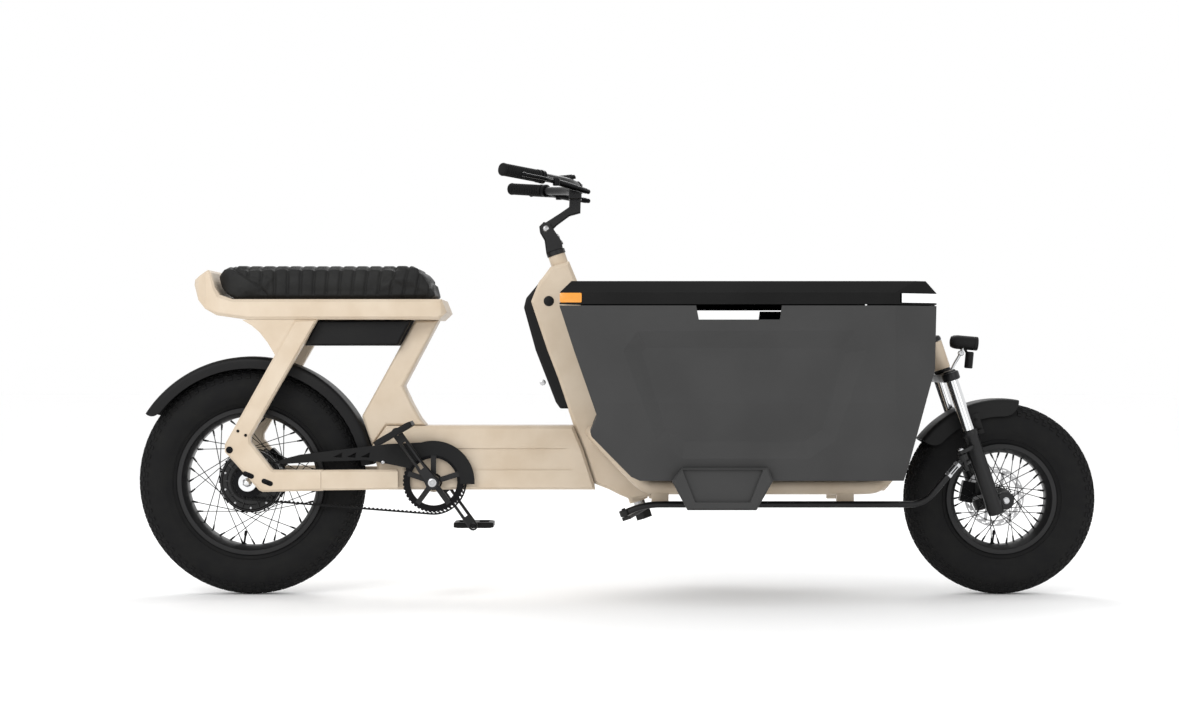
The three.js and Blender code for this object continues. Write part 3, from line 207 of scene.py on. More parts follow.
def reflector_acrylic(name, base, light):
    """Moulded acrylic: clear gloss in front of rows of tiny corner prisms."""
    material, tree, shader, place = finish(name, base, 0.22, Coat_Weight=0.8, Coat_Roughness=0.05)
    prisms = add(tree, "TexVoronoi", {"feature": "F1", "distance": "CHEBYCHEV"}, Vector=place,
                 Scale=1 / (4.0 * MM), Randomness=0.0)
    ramp = add(tree, "ValToRGB", Fac=prisms.outputs["Distance"])
    ramp.color_ramp.elements[0].color = colour(light)
    ramp.color_ramp.elements[1].color = colour(base)
    tree.links.new(ramp.outputs["Color"], shader.inputs["Base Color"])
    grain(tree, shader, place, 4, 0.25, height=prisms.outputs["Distance"])
    return material


def clear_lens():
    """Polycarbonate: a clear moulded window with fluting that spreads the beam."""
    material, tree, shader, place = finish("polycarbonate_lens", "#E8EEF2", 0.08, IOR=1.58, Coat_Weight=1.0,
                                           Transmission_Weight=0.55)
    flutes = add(tree, "TexWave", {"bands_direction": "Y"}, Vector=place, Scale=1 / (14 * MM)).outputs["Fac"]
    grain(tree, shader, place, 3, 0.25, height=flutes)
    return material


BEIGE = powder_coat("powder_coated_steel", "#C6B6A1", "#C1B09A", "#CABBA7", 0.42)
BLACK = powder_coat("black_powder_coat", "#101011", "#0E0E0F", "#131314", 0.40)
ANODISED = turned_metal("black_anodised_aluminium", "#1C1C1D", 0.38, (1, 1, 1), 0.5)
BOX = moulded_plastic("rotomoulded_polyethylene", "#383838", "#363636", "#3A3A3A", 0.60, 1.5, 0.07, 0.20)
LID = moulded_plastic("thermoformed_abs", "#161616", "#141414", "#181818", 0.50, 1.5, 0.06, 0.08)
TRIM = moulded_plastic("glass_filled_nylon", "#111111", "#0F0F10", "#141414", 0.48, 1.2, 0.05, 0.18)
GLOSS = moulded_plastic("gloss_abs", "#0C0C0D", "#0B0B0B", "#0F0F10", 0.24, 2.5, 0.01, 0.35)
TYRE = black_rubber("tyre_rubber", "#0F0F10", "#151514", 0.68, 1.2)
SOFT_RUBBER = black_rubber("grip_rubber", "#0D0D0E", "#121212", 0.66, 0.8)
STEEL = turned_metal("ground_steel", "#B9B9BA", 0.28, (1, 6, 1))
CHROME = turned_metal("hard_chrome", "#DCDDDE", 0.10, (1, 1, 0.3), 3.0, 0.002)
ALUMINIUM = turned_metal("polished_aluminium", "#C4C5C7", 0.24, (1, 1, 1), 1.0)
VINYL = seat_vinyl()
ORANGE = reflector_acrylic("amber_acrylic", "#CE7C0C", "#DE9420")
WHITE = reflector_acrylic("clear_acrylic", "#EDEFF0", "#FFFFFF")
LENS = clear_lens()


# ------------------------------------------------------------ mesh tools
def join(*shapes):
    """Several closed shapes as one mesh."""
    whole = shapes[0]
    for shape in shapes[1:]:
        carried = bpy.data.meshes.new("carried")
        shape.to_mesh(carried)
        whole.from_mesh(carried)
        bpy.data.meshes.remove(carried)
        shape.free()
    return whole


def put(shape, matrix):
    """The shape placed by a matrix whose shift is in millimetres."""
    placed = matrix.copy()
    placed.translation = matrix.translation * MM
    bmesh.ops.transform(shape, matrix=placed, verts=shape.verts)
    return shape


def shifted(shape, *offset):
    """The shape moved along by millimetres."""
    return put(shape, Matrix.Translation(Vector(offset)))


def turned(shape, degrees, axis):
    """The shape turned about one of the axes."""
    return put(shape, Matrix.Rotation(math.radians(degrees), 4, axis))


def mirrored(shape):
    """The same shape on the rider's other side."""
    bmesh.ops.scale(shape, vec=(1, -1, 1), verts=shape.verts)
    bmesh.ops.reverse_faces(shape, faces=shape.faces)
    return shape


def lathe(profile, steps=64, start=0, sweep=360):
    """A profile of [radius, y] points spun about the Y axis, from straight ahead and up."""
    shape = bmesh.new()
    points = [shape.verts.new((r * MM, y * MM, 0)) for r, y in profile]
    edges = [shape.edges.new(pair) for pair in zip(points, points[1:] + points[:1])]
    bmesh.ops.rotate(shape, matrix=Matrix.Rotation(math.radians(-start), 3, "Y"), verts=points)
    whole = sweep == 360
    bmesh.ops.spin(shape, geom=points + edges, axis=(0, 1, 0), cent=(0, 0, 0), dvec=(0, 0, 0),
                   angle=math.radians(-sweep), steps=steps, use_merge=whole, use_duplicate=False)
    bmesh.ops.remove_doubles(shape, verts=shape.verts, dist=1e-6)
    if not whole:
        bmesh.ops.holes_fill(shape, edges=[e for e in shape.edges if e.is_boundary], sides=0)
    bmesh.ops.recalc_face_normals(shape, faces=shape.faces)
    return shape


def spindle(profile, steps=48):
    """A solid turned about Y: the profile starts and ends on the axis."""
    shape = bmesh.new()
    points = [shape.verts.new((r * MM, y * MM, 0)) for r, y in profile]
    edges = [shape.edges.new(pair) for pair in zip(points, points[1:])]
    bmesh.ops.spin(shape, geom=points + edges, axis=(0, 1, 0), cent=(0, 0, 0), dvec=(0, 0, 0),
                   angle=math.tau, steps=steps, use_merge=True, use_duplicate=False)
    bmesh.ops.remove_doubles(shape, verts=shape.verts, dist=1e-6)
    bmesh.ops.recalc_face_normals(shape, faces=shape.faces)
    return shape


def bevelled(shape, width, segments):
    """Rounds the edges that turn by more than 35 degrees."""
    edges = [e for e in shape.edges if e.is_manifold and e.calc_face_angle(0) > math.radians(35)]
    bmesh.ops.bevel(shape, geom=edges, offset=width * MM, offset_type="OFFSET", segments=segments,
                    profile=0.5, affect="EDGES", clamp_overlap=True, material=-1)
    return shape


def plate(points, near, far, bevel=0.0, segments=2):
    """An outline of [x, z] points as a plate from y = near to y = far."""
    shape = bmesh.new()
    face = shape.faces.new([shape.verts.new((x * MM, near * MM, z * MM)) for x, z in points])
    made = bmesh.ops.extrude_face_region(shape, geom=[face])
    moved = [v for v in made["geom"] if isinstance(v, bmesh.types.BMVert)]
    bmesh.ops.translate(shape, vec=(0, (far - near) * MM, 0), verts=moved)
    bmesh.ops.recalc_face_normals(shape, faces=shape.faces)
    return bevelled(shape, bevel, segments) if bevel else shape


def slab(points, bottom, top, bevel=0.0, segments=2):
    """An outline of [x, y] points as a slab from z = bottom to z = top."""
    shape = plate(points, bottom, top, bevel, segments)
    bmesh.ops.transform(shape, matrix=Matrix(((1, 0, 0, 0), (0, 0, 1, 0), (0, 1, 0, 0), (0, 0, 0, 1))),
                        verts=shape.verts)
    bmesh.ops.reverse_faces(shape, faces=shape.faces)
    return shape


def block(corner, opposite, bevel):
    """A rounded box between two opposite corners."""
    (x0, y0, z0), (x1, y1, z1) = corner, opposite
    return plate([(x0, z0), (x1, z0), (x1, z1), (x0, z1)], y0, y1, bevel)


def around(radius, y, degrees):
    """A point on a circle about the Y axis, from straight ahead and up."""
    angle = math.radians(degrees)
    return Vector((radius * math.cos(angle), y, radius * math.sin(angle)))


def arc(x, z, radius, start, end, steps):
    """Points of an outline on part of a circle."""
    angles = [math.radians(start + (end - start) * i / steps) for i in range(steps + 1)]
    return [(x + radius * math.cos(a), z + radius * math.sin(a)) for a in angles]


def eased(points, radius, steps=6):
    """A path with its corners rounded."""
    points = [Vector(p) for p in points]
    path = [points[0]]
    for before, corner, after in zip(points, points[1:], points[2:]):
        back, ahead = before - corner, after - corner
        reach = min(radius, back.length * 0.45, ahead.length * 0.45)
        start, end = corner + back.normalized() * reach, corner + ahead.normalized() * reach
        for i in range(steps + 1):
            t = i / steps
            path.append((1 - t) ** 2 * start + 2 * t * (1 - t) * corner + t * t * end)
    return path + [points[-1]]


def rod(path, radius, sides=6):
    """A round bar or hose along a path, with flat ends."""
    curve = bpy.data.curves.new("line", "CURVE")
    curve.dimensions = "3D"
    spline = curve.splines.new("POLY")
    spline.points.add(len(path) - 1)
    for point, place in zip(spline.points, path):
        point.co = (*(Vector(place) * MM), 1)
    curve.bevel_depth = radius * MM
    curve.bevel_resolution = sides
    curve.use_fill_caps = True
    holder = bpy.data.objects.new("line", curve)
    mesh = bpy.data.meshes.new_from_object(holder)
    shape = bmesh.new()
    shape.from_mesh(mesh)
    bpy.data.objects.remove(holder)
    bpy.data.meshes.remove(mesh)
    bmesh.ops.remove_doubles(shape, verts=shape.verts, dist=1e-6)
    bmesh.ops.recalc_face_normals(shape, faces=shape.faces)
    return shape


def barrel(start, end, profile, steps=32):
    """A turned solid whose profile of [radius, distance] runs from one point towards another."""
    start, end = Vector(start), Vector(end)
    shape = spindle([(0, profile[0][1])] + list(profile) + [(0, profile[-1][1])], steps)
    turn = LEFT.rotation_difference(end - start).to_matrix().to_4x4()
    return put(shape, Matrix.Translation(start) @ turn)


def round_bar(start, end, radius, edge=1.0, steps=32):
    """A round bar between two points with chamfered ends."""
    length = (Vector(end) - Vector(start)).length
    profile = [(radius - edge, 0), (radius, edge), (radius, length - edge), (radius - edge, length)]
    return barrel(start, end, profile, steps)


def from_cad(node):
    """A welded copy of a node's own solid, with its flat faces whole."""
    shape = bmesh.new()
    shape.from_mesh(frame["nodes"][node].data)
    bmesh.ops.remove_doubles(shape, verts=shape.verts, dist=1e-5)
    bmesh.ops.dissolve_limit(shape, angle_limit=math.radians(0.6), verts=shape.verts, edges=shape.edges)
    return shape


def carved(shape, cutter, operation="DIFFERENCE"):
    """The shape with a cutter taken out of it, or added to it."""
    holders = []
    for part in (shape, cutter):
        mesh = bpy.data.meshes.new("carving")
        part.to_mesh(mesh)
        part.free()
        holder = bpy.data.objects.new("carving", mesh)
        bpy.context.scene.collection.objects.link(holder)
        holders.append(holder)
    modifier = holders[0].modifiers.new("carve", "BOOLEAN")
    modifier.object = holders[1]
    modifier.operation = operation
    modifier.solver = "EXACT"
    evaluated = holders[0].evaluated_get(bpy.context.evaluated_depsgraph_get())
    made = bmesh.new()
    made.from_mesh(bpy.data.meshes.new_from_object(evaluated))
    for holder in holders:
        bpy.data.objects.remove(holder)
    return made


def piece(name, shape, body, material, stands_for=(), bevel=0.0, crease=32):
    """Finishes a mesh as a piece of the bicycle that rides on a body."""
    bmesh.ops.remove_doubles(shape, verts=shape.verts, dist=2e-6)
    mesh = bpy.data.meshes.new(name)
    shape.to_mesh(mesh)
    shape.free()
    mesh.polygons.foreach_set("use_smooth", [True] * len(mesh.polygons))
    mesh.set_sharp_from_angle(angle=math.radians(crease))
    mesh.materials.append(material)
    made = bpy.data.objects.new(name, mesh)
    bpy.context.scene.collection.objects.link(made)
    if bevel:
        rounding = made.modifiers.new("rounding", "BEVEL")
        rounding.width = bevel * MM
        rounding.segments = 3
        rounding.limit_method = "ANGLE"
        rounding.angle_limit = math.radians(crease)
        rounding.harden_normals = True
    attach(made, body)
    if stands_for:
        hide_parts(*stands_for)


def softened(node, body, material, bevel, crease=32):
    """A node's own solid as a finished piece, with its edges rounded."""
    piece(node, from_cad(node), body, material, [node], bevel=bevel, crease=crease)


# ------------------------------------------------------------ camera, light and floor
EYE = (-0.073, -5.400, 0.623)
LENS_LENGTH, SENSOR_WIDTH = 62.2, 36
FLOOR_SIZE = 30
AIM = Vector((0, 0, 0.5))
LAMPS = [("key", Vector((-2.4, -4.4, 2.9)), 2.6, 95), ("fill", Vector((3.2, -4.2, 1.6)), 2.2, 22),
         ("rim", Vector((0.3, 3.0, 3.8)), 2.6, 60)]  # name, place in metres, width in metres, watts


def studio():
    """A level camera on the bicycle's right, a white floor and room, and three soft round lamps."""
    bpy.context.scene.view_settings.view_transform = "Standard"
    camera = bpy.data.objects.new("camera", bpy.data.cameras.new("camera"))
    camera.data.sensor_width = SENSOR_WIDTH
    camera.data.lens = LENS_LENGTH
    camera.location = EYE
    camera.rotation_euler = (math.radians(90), 0, 0)
    bpy.context.scene.collection.objects.link(camera)
    bpy.context.scene.camera = camera

    floor_shape = bmesh.new()
    bmesh.ops.create_grid(floor_shape, x_segments=1, y_segments=1, size=FLOOR_SIZE)
    floor_mesh = bpy.data.meshes.new("floor")
    floor_shape.to_mesh(floor_mesh)
    floor_shape.free()
    floor_material, tree, shader, place = finish("painted_floor", "#FFFFFF", 0.8)
    grain(tree, shader, place, 3, 0.05)
    floor_mesh.materials.append(floor_material)
    floor = bpy.data.objects.new("floor", floor_mesh)
    bpy.context.scene.collection.objects.link(floor)

    world = bpy.data.worlds.new("studio")
    world.use_nodes = True
    background = world.node_tree.nodes["Background"]
    background.inputs["Color"].default_value = colour("#FFFFFF")
    background.inputs["Strength"].default_value = 1.0
    bpy.context.scene.world = world
    for name, place, size, power in LAMPS:
        light = bpy.data.lights.new(name, "AREA")
        light.shape = "DISK"
        light.size = size
        light.energy = power
        lamp = bpy.data.objects.new(name, light)
        lamp.location = place
        lamp.rotation_euler = (AIM - place).to_track_quat("-Z", "Y").to_euler()
        bpy.context.scene.collection.objects.link(lamp)


studio()


# ------------------------------------------------------------ wheels
TYRE_HALF = (high("rear_tyre").y - low("rear_tyre").y) / 2
RIM_HALF = (high("rear_rim").y - low("rear_rim").y) / 2
REAR_RIM = (high("rear_rim").x - low("rear_rim").x) / 2
FRONT_RIM = (high("front_rim").x - low("front_rim").x) / 2
DISC = (high("rear_brake_disc").z - low("rear_brake_disc").z) / 2
SPOKES = 36
SPOKE_LEAN = 62  # degrees between a spoke's ends
VALVE_AT = 262  # degrees round the wheel
LUG = 3.0  # height of the tread blocks
TREAD_PITCH = 13


def tyre(name, centre, radius, rim, body):
    """A fat tyre: a round carcass with rows of low tread blocks over the crown and shoulders."""
    deep = radius - rim
    carcass = radius - LUG
    outer = [(rim - 7, RIM_HALF - 9), (rim - 3, RIM_HALF - 6), (rim + 3, RIM_HALF - 4)]
    for i in range(1, 15):
        angle = math.radians(-30 + 120 * i / 14)
        outer.append((rim + deep * 0.44 + (deep * 0.56 - LUG) * math.sin(angle),
                      TYRE_HALF * max(math.cos(angle), 0) ** 0.86))
    outer = outer[:-1] + [(carcass, 7)]
    skin = outer + [(r, -y) for r, y in reversed(outer)]
    lining = [(rim - 7, 20 - RIM_HALF), (rim + 6, 14 - RIM_HALF), (rim + deep * 0.5, 9 - TYRE_HALF),
              (carcass - 8, 20 - TYRE_HALF), (carcass - 8, TYRE_HALF - 20), (rim + deep * 0.5, TYRE_HALF - 9),
              (rim + 6, RIM_HALF - 14), (rim - 7, RIM_HALF - 20)]
    steps = 2 * round(math.pi * radius / TREAD_PITCH)
    shape = lathe(skin + lining, steps)
    blocks, across = [], TYRE_HALF * MM
    for face in shape.faces:
        spot = face.calc_center_median()
        reach = math.hypot(spot.x, spot.z) / MM
        if reach < rim + deep * 0.72 or face.normal.dot(Vector((spot.x, 0, spot.z)).normalized()) < 0.2:
            continue
        row = round(abs(spot.y) / across * 5)
        turn = (math.atan2(spot.z, spot.x) / math.tau * steps) % 2 < 1
        if turn == (row % 2 == 0):
            blocks.append(face)
    bmesh.ops.inset_individual(shape, faces=blocks, thickness=0.0012, depth=LUG * MM * 0.8)
    piece(name, shifted(shape, *centre), body, TYRE, [name], crease=40)
    bands = [lathe([(r, side * y), (r + 1.2, side * (y + 0.8)), (r + 2.4, side * y)], 96)
             for side in SIDES for r, y in ((rim + 9, RIM_HALF + 1.5), (rim + deep * 0.3, TYRE_HALF - 2.6))]
    piece(name + "_bead_lines", shifted(join(*bands), *centre), body, TYRE)


def rim(name, centre, radius, body):
    """A wide box-section rim with a stepped flank, and its valve."""
    half = RIM_HALF
    side = [(radius - 24, 0), (radius - 24, 16), (radius - 22, 22), (radius - 14, half - 3),
            (radius - 12, half), (radius - 1, half), (radius, half - 1), (radius, half - 4), (radius - 6, half - 5),
            (radius - 14, half - 12), (radius - 17, half - 20), (radius - 17, 0)]
    profile = side + [(r, -y) for r, y in reversed(side[1:-1])]
    piece(name, shifted(lathe(profile, 96), *centre), body, BLACK, [name], crease=28)
    stem = [(2.0, 0), (4.0, 1), (4.0, 12), (2.8, 13), (2.8, 32), (6, 33), (6, 36)]
    valve = barrel(around(radius - 60, 0, VALVE_AT), around(radius - 22, 0, VALVE_AT), stem, 16)
    piece(name + "_valve", shifted(valve, *centre), body, ANODISED)


def spokes(name, centre, flange, out, radius, body):
    """Crossed spokes from both hub flanges to the rim, each with its own bent head."""
    wires = []
    for i in range(SPOKES):
        side = 1 if i % 2 else -1
        lean = SPOKE_LEAN if i % 4 < 2 else -SPOKE_LEAN
        at_rim = 360 * i / SPOKES
        head = around(flange, side * out + math.copysign(2.6, lean), at_rim + lean)
        tip = around(radius - 30, side * 5, at_rim)
        wires.append(rod([head, tip], 1.15, 1))
        nipple = [(2.6, -6), (2.6, 3), (2.1, 4), (2.1, 9)]
        wires.append(barrel(tip, tip + (head - tip).normalized(), nipple, 8))
        wires.append(barrel(head - LEFT * 3, head + LEFT * 3, [(2.2, 0), (2.4, 1.5), (1.2, 5), (1.2, 6)], 8))
    piece(name, shifted(join(*wires), *centre), body, ANODISED, [name])


def brake_disc(name, centre, body):
    """A ventilated steel rotor: a slotted braking ring on five swept arms."""
    plane, thick = middle(name).y - centre.y, 0.9
    rings = [DISC - 17, DISC - 12.5, DISC - 9.5, DISC - 6.5, DISC - 3.5, DISC]
    sectors = 90
    shape = bmesh.new()
    points = [shape.verts.new((r * MM, (plane - thick) * MM, 0)) for r in rings]
    edges = [shape.edges.new(pair) for pair in zip(points, points[1:])]
    bmesh.ops.spin(shape, geom=points + edges, axis=(0, 1, 0), cent=(0, 0, 0), dvec=(0, 0, 0),
                   angle=math.tau, steps=sectors, use_merge=True, use_duplicate=False)
    holes = []
    for face in shape.faces:
        spot = face.calc_center_median() / MM
        ring = sum(math.hypot(spot.x, spot.z) > r for r in rings)
        sector = int((math.atan2(spot.z, spot.x) % math.tau) / math.tau * sectors + 1e-6)
        if (ring in (2, 4) and (sector + ring) % 5 < 2) or (ring == 3 and sector % 5 == 3):
            holes.append(face)
    bmesh.ops.delete(shape, geom=holes, context="FACES")
    made = bmesh.ops.extrude_face_region(shape, geom=list(shape.faces))
    moved = [v for v in made["geom"] if isinstance(v, bmesh.types.BMVert)]
    bmesh.ops.translate(shape, vec=(0, 2 * thick * MM, 0), verts=moved)
    bmesh.ops.recalc_face_normals(shape, faces=shape.faces)
    arms = []
    for i in range(6):
        outline = [(18, -7), (24, -7), (44, -3), (DISC - 14, 6), (DISC - 14, 15), (40, 5), (24, 4), (18, 4)]
        arms.append(turned(plate(outline, plane - thick, plane + thick), 60 * i, "Y"))
    hub = lathe([(15.5, plane - thick), (24, plane - thick), (24, plane + thick), (15.5, plane + thick)], 48)
    bolts = []
    for i in range(6):
        spot = around(21, plane, 60 * i + 20)
        bolts.append(barrel(spot, spot + LEFT * 3, [(3.4, 0), (3.4, 2.4), (2.6, 3)], 12))
    piece(name, shifted(join(shape, hub, *arms, *bolts), *centre), body, STEEL, [name])


def rear_hub():
    """The motor hub: a wide drum with ring steps, and ribs and screws on its right cover."""
    drum = (high("rear_hub").x - low("rear_hub").x) / 2
    profile = [
        (8.5, -62), (20, -62), (20, -47), (26, -45), (34, -45), (36, -43), (60, -42), (62, -40), (64, -38.5),
        (drum - 8, -37), (drum - 6, -38.5), (drum - 3, -38), (drum, -35), (drum, -33), (drum - 2, -31),
        (drum - 2, 31), (drum, 33), (drum, 35), (drum - 3, 38), (drum - 6, 38.5), (drum - 8, 37), (60, 41),
        (30, 43), (24, 45), (24, 58), (8.5, 58),
    ]
    ribs = []
    for i in range(10):
        rib = plate([(38, -2.2), (drum - 9, -2.2), (drum - 9, 2.2), (38, 2.2)], -43.8, -37.5, 0.8)
        ribs.append(turned(rib, 36 * i, "Y"))
    screws = []
    for i in range(10):
        spot = around(drum - 12, -37, 36 * i + 18)
        screws.append(barrel(spot, spot - LEFT * 4, [(3.2, 0), (3.2, 2.6), (2.2, 3.6)], 12))
    shell = shifted(join(lathe(profile, 96), *ribs), *REAR_AXLE)
    piece("rear_hub", shell, "rear_wheel", GLOSS, ["rear_hub"], crease=28)
    piece("rear_hub_screws", shifted(join(*screws), *REAR_AXLE), "rear_wheel", STEEL)


def front_hub():
    """A plain hub shell with a flange at each end."""
    flange = (high("front_hub").x - low("front_hub").x) / 2
    profile = [
        (8.5, -64), (14, -64), (15, -63), (15, -50), (17, -40), (flange - 1, -37), (flange, -36),
        (flange, -31), (flange - 1, -30), (21, -26), (17, -14), (17, 14), (21, 26), (flange - 1, 30),
        (flange, 31), (flange, 36), (flange - 1, 37), (22, 41), (22, 58), (8.5, 58),
    ]
    shell = shifted(lathe(profile, 64), *FRONT_AXLE)
    piece("front_hub", shell, "front_wheel", GLOSS, ["front_hub"], crease=28)


tyre("rear_tyre", REAR_AXLE, REAR_RADIUS, REAR_RIM, "rear_wheel")
tyre("front_tyre", FRONT_AXLE, FRONT_RADIUS, FRONT_RIM, "front_wheel")
rim("rear_rim", REAR_AXLE, REAR_RIM, "rear_wheel")
rim("front_rim", FRONT_AXLE, FRONT_RIM, "front_wheel")
spokes("rear_spokes", REAR_AXLE, 84.5, 30, REAR_RIM, "rear_wheel")
spokes("front_spokes", FRONT_AXLE, 31.5, 32, FRONT_RIM, "front_wheel")
brake_disc("rear_brake_disc", REAR_AXLE, "rear_wheel")
brake_disc("front_brake_disc", FRONT_AXLE, "front_wheel")
rear_hub()
front_hub()


# ------------------------------------------------------------ painted frame
def screw(place, towards, radius=4.5, tall=3.2):
    """A button-head screw with its hexagon socket."""
    towards = Vector(towards)
    head = [(radius, 0), (radius, tall * 0.35), (radius * 0.82, tall * 0.8), (radius * 0.55, tall),
            (radius * 0.45, tall), (radius * 0.42, tall * 0.3)]
    return barrel(place, Vector(place) + towards, head, 18)


for node, width in (("main_beam", 2.5), ("steering_tower", 3.0), ("rear_frame_right", 3.0),
                    ("rear_frame_left", 3.0), ("seat_strut", 3.0), ("seat_rail", 4.0), ("front_riser", 3.0)):
    softened(node, "root", BEIGE, width, 24)


def cradle_rail(name, side):
    """A tube from the beam down under the box and in to the riser, with three welded pads."""
    spread, height = 112, 288
    y = side * spread
    path = [(-66, side * 48, 430), (-58, y - side * 22, 422), (-38, y, 402), (54, y, 306), (80, y, height),
            (610, y, height), (665, y - side * 18, height), (700, side * 34, height + 9)]
    bend, tube_radius = 34, 18
    tube = rod(eased(path, bend), tube_radius, 10)
    top = low("cargo_box").z - 0.4
    pads = [block((x - 22, y - 12, height), (x + 22, y + 12, top), 1.5) for x in (110, 350, 590)]
    piece(name, join(tube, *pads), "root", BEIGE, [name])


for side, hand in zip(SIDES, ("right", "left")):
    cradle_rail("cradle_rail_" + hand, side)


def stay_fixings(side):
    """Screws, adjuster slots and the drilled boss on the outside of one rear stay."""
    face, out = side * high("rear_frame_left").y, LEFT * side
    stay_screws, adjusters, boss = ((-984, 435), (-964, 424)), ((-957, 321), (-908, 302)), (-1006, 386)
    made = [screw((x, face, z), out, 4.0, 2.6) for x, z in stay_screws]
    for x, z in adjusters:
        rounded = [*arc(-9, 0, 6.5, 90, 270, 10), *arc(9, 0, 6.5, -90, 90, 10)]
        slot = plate(rounded, *sorted((0, side * 0.9)), 0.3)
        made.append(shifted(turned(slot, 22, "Y"), x, face, z))
        made.append(screw((x, face + side * 0.8, z), out, 4.6, 2.8))
    x, z = boss
    made.append(barrel((x, face, z), (x, face + side, z), [(9, 0), (9, 1.4), (5, 1.6), (4.6, 0.4)], 28))
    return made


piece("frame_screws", join(*(shape for side in SIDES for shape in stay_fixings(side))), "root", ANODISED)

caps = []
for side in SIDES:
    face = side * high("steering_tower").y
    inside, outside = (-180, face - side * 2, 774), (-180, face + side, 774)
    caps.append(barrel(inside, outside, [(13.5, 0), (13.5, 3.2), (11, 4.2)], 40))
piece("tower_caps", join(*caps), "root", TRIM)

softened("under_seat_box", "root", TRIM, 2.5, 24)


# ------------------------------------------------------------ seat
SLACK_SIZE = (0.985, 0.955, 0.90)  # how much smaller the pad starts, because it swells
VOXEL, SWELL = 5, 9
RIB, FIRST_RIB, RIB_LEAN = 34.0, -892.0, 20.0
GROOVE_DEPTH, GROOVE_WIDTH = 4.6, 3.6


def relaxed(shape):
    """The shape with every point eased halfway to its neighbours."""
    bmesh.ops.smooth_vert(shape, verts=shape.verts, factor=0.5,
                          use_axis_x=True, use_axis_y=True, use_axis_z=True)


def seat_pad():
    """One long foam pad under vinyl: a smooth bolster behind and a run of sewn ribs that lean forward."""
    seat_low, seat_high = low("seat_pad"), high("seat_pad")
    source = from_cad("seat_pad")
    centre = middle("seat_pad") * MM
    bmesh.ops.translate(source, vec=-centre, verts=source.verts)
    bmesh.ops.scale(source, vec=SLACK_SIZE, verts=source.verts)
    bmesh.ops.translate(source, vec=centre, verts=source.verts)
    mesh = bpy.data.meshes.new("seat_pad")
    bmesh.ops.triangulate(source, faces=source.faces)
    source.to_mesh(mesh)
    source.free()
    pad = bpy.data.objects.new("seat_cover", mesh)
    bpy.context.scene.collection.objects.link(pad)
    bpy.context.view_layer.objects.active = pad
    remesh = pad.modifiers.new("remesh", "REMESH")
    remesh.mode = "VOXEL"
    remesh.voxel_size = VOXEL * MM
    bpy.ops.object.modifier_apply(modifier="remesh")
    start = [v.co.copy() for v in pad.data.vertices]
    cloth = pad.modifiers.new("cloth", "CLOTH")
    cloth.settings.use_pressure = True
    cloth.settings.uniform_pressure_force = 4
    cloth.settings.effector_weights.gravity = 0
    for step in range(1, 21):
        bpy.context.scene.frame_set(step)
    bpy.ops.object.modifier_apply(modifier="cloth")
    bpy.context.scene.frame_set(1)
    cap = SWELL * MM
    shape = bmesh.new()
    shape.from_mesh(pad.data)
    shape.verts.ensure_lookup_table()
    for vertex, at_first in zip(shape.verts, start):
        travel = vertex.co - at_first
        if travel.length > cap:
            vertex.co = at_first + travel.normalized() * cap
    relaxed(shape)
    bmesh.ops.subdivide_edges(shape, edges=shape.edges, cuts=1, use_grid_fill=True)
    relaxed(shape)
    shape.normal_update()
    for vertex in shape.verts:
        spot = vertex.co / MM
        share = min(max((spot.z - seat_low.z) / (seat_high.z - seat_low.z), 0), 1)
        seam = seat_low.x + 143 - 94 * share ** 1.5
        forward = (spot.x - FIRST_RIB) / (seat_high.x - FIRST_RIB)
        phase = (spot.x - FIRST_RIB - RIB_LEAN * max(forward, 0) * (share - 0.5)) / RIB
        groove = abs(phase - round(phase)) * RIB if spot.x > seam else RIB
        groove = min(groove, abs(spot.x - seam) * 0.8)
        fade = min(max((share - 0.04) / 0.10, 0), 1)
        vertex.co -= vertex.normal * MM * fade * GROOVE_DEPTH * math.exp(-(groove / GROOVE_WIDTH) ** 2)
    floor_z = (seat_low.z + 0.3) * MM
    for vertex in shape.verts:
        vertex.co.z = max(vertex.co.z, floor_z)
    shape.to_mesh(pad.data)
    shape.free()
    pad.data.polygons.foreach_set("use_smooth", [True] * len(pad.data.polygons))
    pad.data.materials.clear()
    pad.data.materials.append(VINYL)
    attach(pad, "root")
    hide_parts("seat_pad")


seat_pad()


# ------------------------------------------------------------ battery
def battery():
    """The battery case behind the tower, with its key lock."""
    softened("battery_pack", "root", TRIM, 3.0, 24)
    side_face = low("battery_pack").y
    lock = barrel((-196, side_face - 0.5, 560), (-196, side_face - 1.5, 560), [(8, 0), (8, 2), (6, 3)], 32)
    piece("battery_lock", lock, "root", STEEL)


battery()


# ------------------------------------------------------------ cargo box and lid
BOX_FLOOR = 317.0
CREASE, LEAN = 512.0, 26.0
BOX_HALF = high("lid").y


def wall(z):
    """Half the box's width at a height: the walls lean in below the crease."""
    return BOX_HALF - LEAN * max(CREASE - z, 0) / (CREASE - BOX_FLOOR)


def with_crease(points):
    """The outline with a point wherever it crosses the crease."""
    out = []
    for (x0, z0), (x1, z1) in zip(points, points[1:] + points[:1]):
        out.append((x0, z0))
        if (z0 - CREASE) * (z1 - CREASE) < 0:
            share = (CREASE - z0) / (z1 - z0)
            out.append((x0 + share * (x1 - x0), CREASE))
    return out


